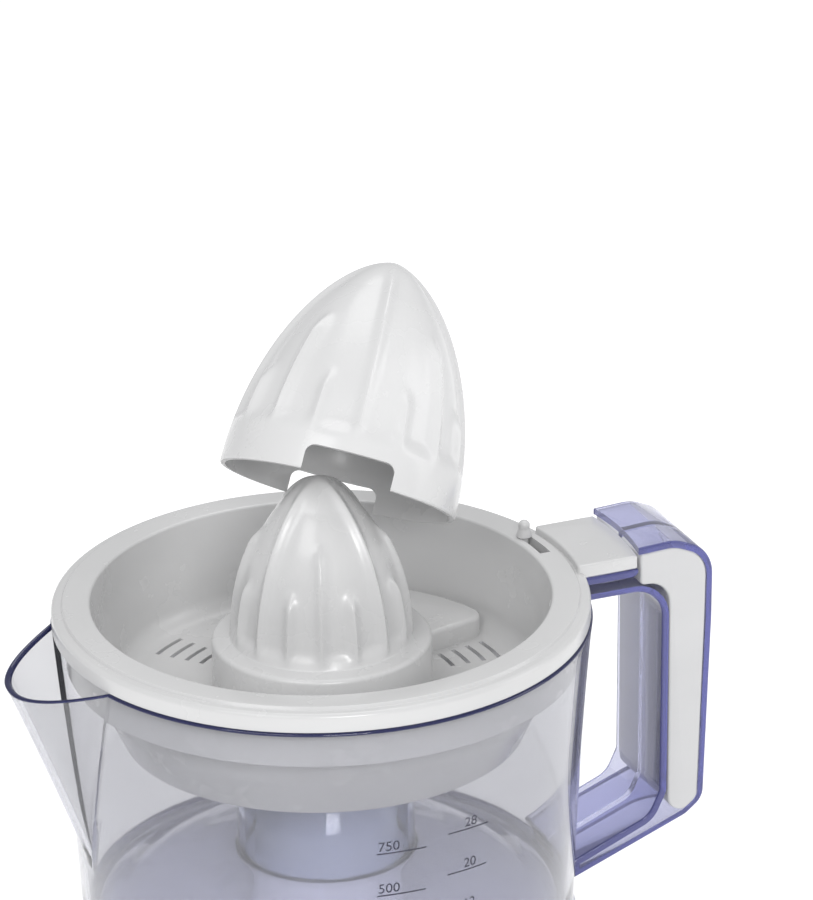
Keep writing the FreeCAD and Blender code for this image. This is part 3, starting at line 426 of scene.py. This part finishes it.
def jug_row(radius, level, spout=False):
    """Points round the jug at one height; the spout's columns follow its creases."""
    row = []
    rest = JUG_COLUMNS - SPOUT_COLUMNS
    root = spout_place(1.0, level)[0]
    for column in range(JUG_COLUMNS):
        if column <= SPOUT_COLUMNS:
            side = -1 + 2 * column / SPOUT_COLUMNS
            angle, beyond, fall = spout_place(side, level)
            row.append(polar(radius + (beyond if spout else 0.0), 180.0 + angle,
                             level - (fall if spout else 0.0)))
        else:
            share = (column - SPOUT_COLUMNS) / rest
            row.append(polar(radius, 180.0 + root + share * (360.0 - 2 * root), level))
    return row


def jug_floor_outline():
    """Juice side of floor and column, then the outside of the hollow below, (radius, height)."""
    inside = rounded([(jug_radius(66) - WALL, 70.0, 0), (jug_radius(66) - WALL, 65.4, 3.0),
                      (66.0, 68.6, 40.0), (54.0, 76.6, 60.0), (40.0, 81.6, 50.0),
                      (28.1, 83.7, 3.0), (28.1, 99.0, 6.0),
                      (24.0, 107.0, 5.0), (24.0, 145.0, 3.5), (7.0, 145.0, 0.8),
                      (7.0, 142.8, 0)], 5, closed=False)
    below = rounded([(7.0, 142.8, 0), (21.8, 142.8, 2.0), (21.8, 106.0, 5.0), (25.9, 98.0, 6.0),
                     (25.9, 82.0, 2.0), (40.0, 79.0, 50.0), (54.0, 74.0, 60.0), (66.0, 66.2, 40.0),
                     (74.2, 62.9, 2.0), (76.1, 62.6, 0.8), (76.1, 58.6, 0)], 5, closed=False)
    return inside, below[1:]


def jug_shell():
    rows = []
    lip = 1.0
    levels = [JUG_BOTTOM + 0.6 + (JUG_TOP - JUG_BOTTOM - 0.6 - lip) * k / 46 for k in range(47)]
    rows.append(jug_row(jug_radius(JUG_BOTTOM) - 0.8, JUG_BOTTOM))
    rows.append(jug_row(jug_radius(JUG_BOTTOM) - 0.2, JUG_BOTTOM + 0.2))
    rows += [jug_row(jug_radius(level), level, True) for level in levels]
    for step in range(1, 9):
        angle = math.pi * step / 8
        inset = WALL / 2 - WALL / 2 * math.cos(angle)
        level = JUG_TOP - lip + lip * math.sin(angle)
        rows.append(jug_row(jug_radius(JUG_TOP) - inset, level, True))
    rows += [jug_row(jug_radius(level) - WALL, level, True) for level in reversed(levels) if level > 71]
    inside, below = jug_floor_outline()
    rows += [jug_row(radius, level) for radius, level in inside[1:] + below]
    points = [point for row in rows for point in row]
    return mesh_piece("jug", points, grid_faces(len(rows), JUG_COLUMNS), 35.0)


REACH = 126.2               # handle's furthest point from the drive axis
HALF = 17.5                 # half the handle's width
HALF_WEB = 1.3
GRIP = REACH - 17.2


def handle_outer():
    """Outer border of the handle seen from the side, without the jug end."""
    return [(78.0, RIM - 3.2, 0), (REACH - 28.0, RIM - 3.2, 0), (REACH - 28.0, RIM + 3.9, 1.0),
            (REACH - 13.0, RIM + 4.6, 14.0), (REACH + 0.2, RIM - 1.0, 12.0),
            (REACH, RIM - 24.0, 40.0), (REACH - 2.4, RIM - 88.5, 7.0),
            (REACH - 8.5, RIM - 93.3, 6.0), (78.0, RIM - 108.6, 0)]


def handle_inner():
    """Border of the finger gap, from the jug end round and back."""
    return [(78.0, RIM - 102.3, 0), (REACH - 21.5, RIM - 91.2, 8.0), (GRIP - 0.5, RIM - 83.0, 3.0),
            (GRIP, RIM - 11.0, 10.0), (78.0, RIM - 11.0, 0)]


def inset_corners(corners, inset):
    """Corners of a clockwise outline moved inwards, with their radii adjusted."""
    moved = []
    for index, (x, z, radius) in enumerate(corners):
        here = Vector((x, z))
        back = (here - Vector(corners[index - 1][:2])).normalized()
        ahead = (Vector(corners[(index + 1) % len(corners)][:2]) - here).normalized()
        turn = back.x * ahead.y - back.y * ahead.x
        inward = (Vector((back.y, -back.x)) + Vector((ahead.y, -ahead.x))).normalized()
        stretch = inward.dot(Vector((ahead.y, -ahead.x)))
        place = here + inward * (inset / stretch)
        moved.append((place.x, place.y, max(radius + (inset if turn > 0 else -inset), 0.0)))
    return moved


def handle_outline(inset=0.0):
    """Closed band outline, moved inwards by the inset."""
    return rounded(inset_corners(handle_outer() + handle_inner(), inset), 8)


def make_handle():
    """Wide flange all round and a thin web down the middle, one solid."""
    frame_solid = slab("handle", handle_outline(), -HALF, HALF, 0.7)
    pocket = handle_outline(2.2)
    for low, high in ((HALF_WEB, HALF + 2), (-HALF - 2, -HALF_WEB)):
        combine(frame_solid, slab("pocket", pocket, low, high), "DIFFERENCE")
    head = turned("head_cut", [(0, RIM - 3.2), (102.0, RIM - 3.2), (102.0, RIM + 20), (0, RIM + 20)])
    combine(frame_solid, head, "DIFFERENCE")
    return frame_solid


def make_jug():
    shell = jug_shell()
    handle = make_handle()
    levels = [JUG_BOTTOM + 4 + (RIM + 12 - JUG_BOTTOM - 4) * k / 30 for k in range(31)]
    core = [(0, levels[0])] + [(jug_radius(z) - WALL / 2, z) for z in levels] + [(0, levels[-1])]
    combine(handle, turned("core_cut", core), "DIFFERENCE")
    rim_cut = turned("rim_cut", [(0, JUG_TOP), (84.3, JUG_TOP), (84.3, RIM + 9), (0, RIM + 9)])
    combine(handle, rim_cut, "DIFFERENCE")
    combine(shell, handle, "UNION")
    place(shell, "jug", CLEAR, "clear_plastic", "jug_vessel", "jug_column", "jug_handle")
    # painted light and shade on the jug's lip, flange edges, handle, floor and column
    paint_jug_light_and_shade(shell)


def paint_jug_light_and_shade(jug):
    """Paint light and shade onto the clear jug: darker navy on the lip, flange edges and handle is
    painted shade for light running along the plastic; a paler lavender floor is painted light; a darker
    column is painted shade.
    """
    for material in (CLEAR_LIP_PAINTED_SHADE, CLEAR_EDGE_PAINTED_SHADE, CLEAR_HANDLE_PAINTED_SHADE, CLEAR_FLOOR_PAINTED_LIGHT, CLEAR_COLUMN_PAINTED_SHADE):
        jug.data.materials.append(material)
    fall_start, fall_length = 79.8, 23.2
    for face in jug.data.polygons:
        centre = face.center / MM
        across = math.hypot(centre.x, centre.y)
        beak = centre.x < -78.0 and abs(centre.y) < SPOUT_HALF_WIDTH + 0.5
        crest, depth = JUG_TOP, 1.0
        if beak:
            crest -= SPOUT_FALL * max(-centre.x - fall_start, 0.0) / fall_length
            depth = 1.6
        lip = crest - depth < centre.z < JUG_TOP + 0.1 and centre.x < 84.0
        # face masks for the painted tints: lip, flange edges and handle get painted darker shade, the
        # floor painted light, the column painted darker shade
        if lip:
            face.material_index = 1
        elif abs(centre.y) > HALF - 0.75 and centre.x > 82.0:
            face.material_index = 2
        elif across > 84.7 and centre.x > 80.0:
            face.material_index = 3
        elif across < 76.0:
            face.material_index = 5 if across < 29.0 and centre.z > 84.0 else 4


def insert_outline():
    """White side plate: fills the grip and the head, rounded off above the lower arm."""
    return rounded([(REACH - 24.9, RIM - 9.0, 1.5), (REACH - 24.9, RIM + 1.6, 1.0),
                    (REACH - 13.2, RIM + 2.4, 11.5), (REACH - 2.0, RIM - 2.6, 10.0),
                    (REACH - 2.4, RIM - 24.0, 40.0), (REACH - 4.6, RIM - 91.8, 5.2),
                    (GRIP + 2.4, RIM - 90.8, 5.0), (GRIP + 2.4, RIM - 9.2, 7.6)], 8)


def make_inserts():
    outline = insert_outline()
    for name, low, high in (("handle_insert_left", 1.45, HALF), ("handle_insert_right", -HALF, -1.45)):
        plate = slab(name + "_plate", outline, low, high, 0.8)
        place(plate, "jug", SATIN_WHITE, "handle_plastic", name)


INK_GAP = 0.04              # print stands this far off the wall


def scale_mark(name, start, end, level, label):
    """One line of the printed scale with its number above it, wrapped on the jug."""
    radius = jug_radius(level) + INK_GAP
    half_line, thickness, steps = 0.22, 0.03, 24
    points = []
    for step in range(steps + 1):
        angle = CAMERA_SIDE + start + (end - start) * step / steps
        for out, height in ((0.0, -half_line), (0.0, half_line),
                            (thickness, half_line), (thickness, -half_line)):
            points.append(polar(jug_radius(level + height) + INK_GAP + out, angle, level + height))
    line = mesh_piece(name + "_line", points, band_faces(steps))
    curve = bpy.data.curves.new(name, "FONT")
    curve.body = label
    curve.size = 4.6
    curve_depth = 0.015
    curve.extrude = curve_depth
    text = bpy.data.objects.new(name, curve)
    bpy.context.scene.collection.objects.link(text)
    graph = bpy.context.evaluated_depsgraph_get()
    mesh = bpy.data.meshes.new_from_object(text.evaluated_get(graph))
    bpy.data.objects.remove(text)
    shift = 0.3 if len(label) == 3 else 5.6
    above_line = 0.9
    for vertex in mesh.vertices:
        height = level + above_line + vertex.co.y
        out = jug_radius(height) + INK_GAP + curve_depth + vertex.co.z
        turn = CAMERA_SIDE + start + math.degrees((vertex.co.x + shift) / radius)
        vertex.co = polar(out, turn, height) * MM
    digits = bpy.data.objects.new(name + "_digits", mesh)
    bpy.context.scene.collection.objects.link(digits)
    return line, digits


def make_scale():
    """Millilitres in one column and fluid ounces in the other."""
    pieces = []
    columns = (("ml_", ("750", "500", "250"), 10.6, 21.6, RIM - 50.1, 14.7),
               ("oz_", ("28", "20", "12"), 26.8, 36.8, RIM - 47.5, 14.3))
    for unit, labels, start, end, top, pitch in columns:
        for index, label in enumerate(labels):
            pieces += scale_mark(unit + label, start, end, top - pitch * index, label)
    place(joined("measuring_scale", pieces), "jug", INK, "dark_plastic")


# ---------------------------------------------------------------- strainer

FLOOR = RIM - 33.0
DECK_START, DECK_END = 14.5, 84.0
SLOT_RADIUS, SLOT_PITCH = 59.6, 5.3
SLOT_HALF_WIDTH, SLOT_HALF_ANGLE = 0.75, 6.5


def ring_sector(name, inner, outer, start, end, low, high, steps=12):
    """Closed flat ring piece between two plan angles."""
    points = []
    for step in range(steps + 1):
        angle = start + (end - start) * step / steps
        points += [polar(inner, angle, low), polar(outer, angle, low),
                   polar(outer, angle, high), polar(inner, angle, high)]
    return mesh_piece(name, points, band_faces(steps))


def bowl_outline():
    return rounded([
        (71.9, RIM, 1.0), (80.3, RIM, 0.35), (80.9, RIM - 1.0, 0.35), (84.0, RIM - 1.1, 1.5),
        (84.0, JUG_TOP, 0.3), (81.8, JUG_TOP, 0.3), (81.8, RIM - 3.2, 0.8), (80.0, RIM - 3.2, 0.4),
        (80.0, RIM - 20.0, 0.6), (78.3, RIM - 20.0, 0.6), (78.3, RIM - 3.2, 0.6),
        (74.1, RIM - 3.2, 0.6), (69.6, FLOOR + 3.0, 20.0), (63.7, RIM - 43.5, 0.5),
        (61.9, RIM - 43.5, 0.5), (66.9, FLOOR - 2.0, 3.0), (29.0, FLOOR - 2.0, 1.0),
        (29.0, RIM - 21.0, 1.0), (9.0, RIM - 21.0, 0.3), (9.0, RIM - 19.0, 0.3),
        (31.0, RIM - 19.0, 1.5), (31.0, FLOOR, 0.8), (67.2, FLOOR, 7.0)], 6)


def make_deck():
    """Raised deck round the back of the neck, rounded in plan and along its top."""
    steps = 8
    angles = [DECK_START + (DECK_END - DECK_START) * step / steps for step in range(steps + 1)]
    corners = [(*polar(65.5, angle).xy, 6.0 if angle in (angles[0], angles[-1]) else 0)
               for angle in angles]
    corners += [(*polar(30.0, angle).xy, 0) for angle in reversed(angles)]
    deck = slab("deck", rounded(corners, 8), FLOOR - 1.8, FLOOR + 7.0, flat=True)
    soften(deck, 1.6, 5)
    return deck


def make_slots():
    """Groups of four juice slots along circles, left out under the deck."""
    slots = []
    for middle in range(5, 365, 30):
        if DECK_START < middle < DECK_END:
            continue
        for ring in range(4):
            radius = SLOT_RADIUS - SLOT_PITCH * ring
            slots.append(ring_sector("slot", radius - SLOT_HALF_WIDTH, radius + SLOT_HALF_WIDTH,
                                     middle - SLOT_HALF_ANGLE, middle + SLOT_HALF_ANGLE,
                                     FLOOR - 4, FLOOR + 2))
    return joined("slots", slots)


def make_tab():
    """Tongue of the strainer that lies over the handle's top arm."""
    outline = [(80.0, RIM - 3.0), (80.0, RIM + 1.5), (110.0, RIM + 1.5), (110.0, RIM - 3.0)]
    tab = slab("tab", [Vector(point) for point in outline], -17.3, 17.3)
    reach = turned("tab_reach", [(81.6, RIM - 8), (101.7, RIM - 8), (101.7, RIM + 8), (81.6, RIM + 8)])
    combine(tab, reach, "INTERSECT")
    soften(tab, 0.9, 4)
    return tab


def make_strainer():
    bowl = turned("strainer", bowl_outline(), 256)
    for extra in (make_deck(), make_tab()):
        combine(bowl, extra, "UNION")
    track = joined("track", [
        ring_sector("rim_slot", 74.25, 77.75, -0.1, 12.1, RIM - 6, RIM + 3),
        ring_sector("window", 60.0, 75.5, -3.0, 15.0, RIM - 41.2, RIM - 36.0)])
    combine(bowl, track, "DIFFERENCE")
    combine(bowl, make_slots(), "DIFFERENCE")
    place(bowl, "strainer", WHITE, "white_plastic", "strainer_bowl")


def make_knob():
    """Little post that sets how much pulp passes."""
    outline = rounded([(0, RIM + 2.0, 0), (1.4, RIM + 2.0, 0), (1.4, RIM + 0.2, 0), (2.6, RIM + 0.2, 0.3),
                       (2.2, RIM + 1.6, 0.8), (1.75, RIM + 3.0, 1.0), (2.0, RIM + 5.4, 1.6),
                       (0, RIM + 5.8, 0)], 5, closed=False)
    knob = turned("pulp_knob", outline, 40)
    knob.data.transform(Matrix.Translation(polar(76.0, 10.5) * MM))
    place(knob, "pulp_control", WHITE, "white_plastic", "pulp_control_knob")


# ---------------------------------------------------------------- cones

def cone_radius(share):
    """Radius of the blunt reamer form as a share of its foot radius."""
    return max(1.0 - share ** 1.95, 0.0) ** 0.6


RIB_TOPS = (1.2, 0.46, 0.72, 0.46)   # height share at which each rib fades out
RIB_COUNT = 16


def flute(share, angle, radius, rib_angle, spread):
    """0 on a rib's crest, 1 in the floor of the hollow between ribs."""
    crest = 0.0
    for index in range(RIB_COUNT):
        top = RIB_TOPS[index % len(RIB_TOPS)]
        weight = 1.0 - smoothstep(top - 0.12, top, share)
        if weight <= 0:
            continue
        apart = (angle - rib_angle - 360.0 / RIB_COUNT * index + 180.0) % 360.0 - 180.0
        distance = math.radians(abs(apart)) * max(radius, 1.0)
        crest = max(crest, weight * math.exp(-((distance / spread) ** 1.5)))
    return 1.0 - crest


def reamer_rows(radius, foot, height, depth, spread, rib_angle, plain, columns, count):
    """Rows of the ribbed surface from the foot to the tip."""
    rows = []
    for row in range(count):
        share = math.sin(math.pi / 2 * row / (count - 1)) ** 0.9
        across = radius * cone_radius(share)
        here = []
        for column in range(columns):
            angle = 360.0 * column / columns
            hollow = flute(share, angle, across, rib_angle, spread)
            ramp = smoothstep(plain, plain + 0.09, share)
            cut = depth * hollow * ramp * min(1.0, across / (0.45 * radius))
            here.append(polar(max(across - cut, 0.0), angle,
                              foot + height * share - 0.25 * cut * (1 - across / radius)))
        rows.append(here)
    return rows


def plain_rows(outline, columns):
    """Rows of a smooth turned surface, to go with ribbed ones."""
    return [[polar(r, 360.0 * k / columns, z) for k in range(columns)] for r, z in outline]


def make_small_cone():
    columns, foot, height, radius = 320, RIM - 14.0, 53.5, 28.6
    skirt_low = RIM - 29.5
    outside = rounded([(34.5, skirt_low, 0), (34.5, foot, 1.6), (radius + 0.3, foot + 0.5, 0.6),
                       (radius, foot + 1.0, 0)], 5, closed=False)
    rows = plain_rows(outside, columns)
    rows += reamer_rows(radius, foot + 1.0, height - 1.0, 2.2, 1.9,
                        CAMERA_SIDE - 45, 0.0, columns, 96)
    inside = [(0.0, RIM + 14.0), (7.9, RIM + 14.0), (7.9, RIM - 12.0), (10.0, RIM - 12.0),
              (10.0, RIM + 18.0), (13.0, RIM + 20.0), (17.0, RIM + 12.0), (21.0, RIM + 4.0),
              (23.5, RIM - 6.0), (24.0, foot - 1.2), (32.7, foot - 1.2), (32.7, skirt_low + 0.4),
              (33.2, skirt_low), (34.1, skirt_low)]
    rows += plain_rows(inside, columns)
    points = [point for row in rows for point in row]
    cone = mesh_piece("small_reamer", points, grid_faces(len(rows), columns), 50.0)
    place(cone, "small_cone", CONE_WHITE, "white_plastic", "small_cone")


def lifted(piece):
    """Take a piece from its seat over the small cone to the lifted place of the CAD model."""
    joint = next(j for j in frame["joints"] if j["name"] == "large_cone_lift")
    pivot, axis = Vector(joint["pos_m"]), Vector(joint["axis"])
    turn = Matrix.Rotation(math.radians(-joint["range_deg"][0]), 4, axis)
    piece.data.transform(Matrix.Translation(pivot) @ turn @ Matrix.Translation(-pivot))
    return piece


def make_large_cone():
    columns, foot, height, radius = 384, RIM - 19.5, 74.0, 37.6
    rows = plain_rows([(36.0, foot), (37.3, foot + 0.1), (radius, foot + 0.5)], columns)
    rows += reamer_rows(radius, foot + 0.8, height - 0.8, 2.4, 2.3, CAMERA_SIDE, 0.15, columns, 110)
    inside = []
    for step in range(31):
        share = 1.0 - step / 30
        across = max(radius * cone_radius(share) - 4.4 - share, 0.0)
        if share < 0.15:
            across += 2.6 * smoothstep(0.15, 0.09, share)
        inside.append((across, foot + 0.6 + (height - 6.0) * share))
    rows += plain_rows(inside, columns)
    points = [point for row in rows for point in row]
    cone = mesh_piece("large_reamer", points, grid_faces(len(rows), columns), 50.0)
    notch_outline = rounded([(-14.0, foot - 3, 0), (-14.0, foot + 8.0, 3.0), (14.0, foot + 8.0, 3.0),
                             (14.0, foot - 3, 0)], 8)
    notch = slab("notch", notch_outline, -60.0, 60.0)
    notch.data.transform(Matrix.Rotation(math.radians(CAMERA_SIDE + 90), 4, "Z"))
    combine(cone, notch, "DIFFERENCE")
    place(lifted(cone), "large_cone", CONE_WHITE, "white_plastic", "large_cone")


# ---------------------------------------------------------------- base

def mesh_cylinder(name, radius, length, start, direction):
    outline = [(0, 0), (radius, 0), (radius, length), (0, length)]
    piece = turned(name, outline, 48)
    turn = direction.to_track_quat("Z", "Y").to_matrix().to_4x4()
    piece.data.transform(Matrix.Translation(start * MM) @ turn)
    return piece


def make_base():
    shell = rounded([
        (80.5, 3.0, 0.8), (79.7, 58.0, 1.0), (72.0, 58.0, 0.5), (71.0, 61.0, 1.5), (24.2, 61.0, 3.6),
        (20.2, 136.0, 1.5), (8.6, 136.0, 0.3), (8.6, 121.6, 0.3), (17.0, 121.6, 1.0),
        (18.0, 58.8, 1.0), (68.8, 58.8, 0.5), (68.8, 55.8, 0.5), (77.5, 55.8, 2.0), (78.3, 3.0, 0.3)], 5)
    base = turned("motor_base", shell, 224)
    gland_angle, gland_radius, gland_level = 112.5, 5.2, 16.0
    hole = mesh_cylinder("gland_hole", gland_radius, 20.0, polar(70.0, gland_angle, gland_level),
                         polar(1.0, gland_angle))
    combine(base, hole, "DIFFERENCE")
    # the base's top and tower, seen only through the jug, get the painted-light white; faces below the
    # outer wall top keep the plain white
    place(base, "base", BASE_PAINTED_LIGHT, "white_plastic", "base_housing", "base_tower")
    base.data.materials.append(WHITE)
    outer_wall_top = 56.0
    for face in base.data.polygons:
        if face.center.z < outer_wall_top * MM:
            face.material_index = 1


def make_spring():
    """Coil spring with flat end turns; the real one shortens as the shaft is pressed, this mesh keeps one
    length.
    """
    low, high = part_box("return_spring")
    wire, coil, turns, steps, around = 0.45, 5.6, 4.5, 216, 8
    bottom, span = low.z / MM + wire, (high.z - low.z) / MM - 2 * wire
    points = []
    for step in range(steps + 1):
        turn = turns * step / steps
        rise = 0.6 * step / steps + 0.4 * smoothstep(0.0, 1.0, step / steps)
        for corner in range(around):
            side = math.tau * corner / around
            points.append(polar(coil + wire * math.cos(side), 360.0 * turn,
                                bottom + span * rise + wire * math.sin(side)))
    faces = grid_faces(steps + 1, around, loop_rows=False)
    faces.append(tuple(range(around)))
    faces.append(tuple(steps * around + corner for corner in reversed(range(around))))
    spring = mesh_piece("return_coil", points, faces, 60.0)
    place(spring, "base", STEEL, "steel", "return_spring")
    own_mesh(spring)


CAD_FINISHES = {
    "base_plate": SATIN_WHITE, "rubber_feet": RUBBER, "base_screws": STEEL,
    "gear_frame_screws": STEEL, "gear_frame": ZINC, "motor_can": ZINC, "stator_coil": COPPER,
    "rotor_magnet": FERRITE, "rotor_shaft": STEEL, "motor_pinion": BRONZE,
    "output_gear": GEAR_PLASTIC, "intermediate_gear": GEAR_PLASTIC, "gear_axle": STEEL,
    "drive_shaft": STEEL, "retaining_ring": STEEL, "lower_bush": BRONZE,
    "upper_bush": BRONZE, "shaft_seal": RUBBER, "switch_body": DARK_PLASTIC,
    "switch_plunger": GEAR_PLASTIC, "terminal_block": SATIN_WHITE, "cord_gland": DARK_PLASTIC,
    "pulp_control_ring": WHITE, "drive_hub": GEAR_PLASTIC,
}


def finish_cad_nodes():
    for name, material in CAD_FINISHES.items():
        node = frame["nodes"][name]
        node.data.materials.clear()
        node.data.materials.append(material)


# ---------------------------------------------------------------- stage, light, camera

def make_stage():
    nodes = Nodes("floor")
    nodes.link(nodes.blend(nodes.ranged(nodes.noise(3.0, 5.0), 0.0, 1.0),
                           (0.90, 0.90, 0.90), (0.94, 0.94, 0.94)), nodes.shader.inputs["Base Color"])
    nodes.link(nodes.ranged(nodes.noise(20.0, 4.0), 0.55, 0.7), nodes.shader.inputs["Roughness"])
    nodes.shader.inputs["Emission Color"].default_value = (1.0, 1.0, 1.0, 1.0)
    nodes.shader.inputs["Emission Strength"].default_value = 0.35
    size = 14.0
    mesh = bpy.data.meshes.new("floor")
    mesh.from_pydata([(-size, -size, 0), (size, -size, 0), (size, size, 0), (-size, size, 0)],
                     [], [(0, 1, 2, 3)])
    floor = bpy.data.objects.new("floor", mesh)
    bpy.context.scene.collection.objects.link(floor)
    mesh.materials.append(nodes.material)


def softbox(name, place_at, aim, width, height, power):
    lamp = bpy.data.lights.new(name, "AREA")
    lamp.shape = "RECTANGLE"
    lamp.size = width
    lamp.size_y = height
    lamp.energy = power
    piece = bpy.data.objects.new(name, lamp)
    piece.location = place_at
    piece.rotation_euler = (Vector(aim) - Vector(place_at)).to_track_quat("-Z", "Y").to_euler()
    bpy.context.scene.collection.objects.link(piece)


def make_light():
    world = bpy.data.worlds.new("studio")
    world.use_nodes = True
    world.node_tree.nodes["Background"].inputs["Color"].default_value = (0.98, 0.985, 1.0, 1.0)
    world.node_tree.nodes["Background"].inputs["Strength"].default_value = 0.50
    bpy.context.scene.world = world
    centre = (0, 0, 0.16)
    softbox("key", (-1.1, -0.9, 1.5), centre, 0.9, 0.9, 9.0)
    softbox("top", (0.3, 0.5, 1.7), centre, 1.2, 1.2, 9.0)
    softbox("side", (1.5, -0.6, 0.7), centre, 0.6, 1.2, 4.0)
    softbox("front", (-0.35, -1.75, 1.05), centre, 0.6, 0.5, 12.0)


def make_camera():
    """Long lens, looking down by about 25 degrees; the press sits low in the frame."""
    azimuth, elevation, roll = math.radians(-20.5), math.radians(24.76), math.radians(1.38)
    distance = 1.512
    target = Vector((0, 0, RIM * MM))
    offset = Vector((math.sin(azimuth) * math.cos(elevation),
                     -math.cos(azimuth) * math.cos(elevation), math.sin(elevation)))
    lens = bpy.data.cameras.new("camera")
    lens.lens = 194.5
    lens.sensor_width = 36.0
    lens.shift_x = 0.0953
    lens.shift_y = 0.159
    camera = bpy.data.objects.new("camera", lens)
    aim = (-offset).to_track_quat("-Z", "Y").to_matrix().to_4x4()
    camera.matrix_world = (Matrix.Translation(target + offset * distance) @ aim
                           @ Matrix.Rotation(-roll, 4, "Z"))
    bpy.context.scene.collection.objects.link(camera)
    bpy.context.scene.camera = camera


make_jug()
make_inserts()
make_scale()
make_strainer()
make_knob()
make_small_cone()
make_large_cone()
make_base()
make_spring()
finish_cad_nodes()
make_stage()
make_light()
make_camera()
bpy.context.scene.view_settings.view_transform = "Standard"
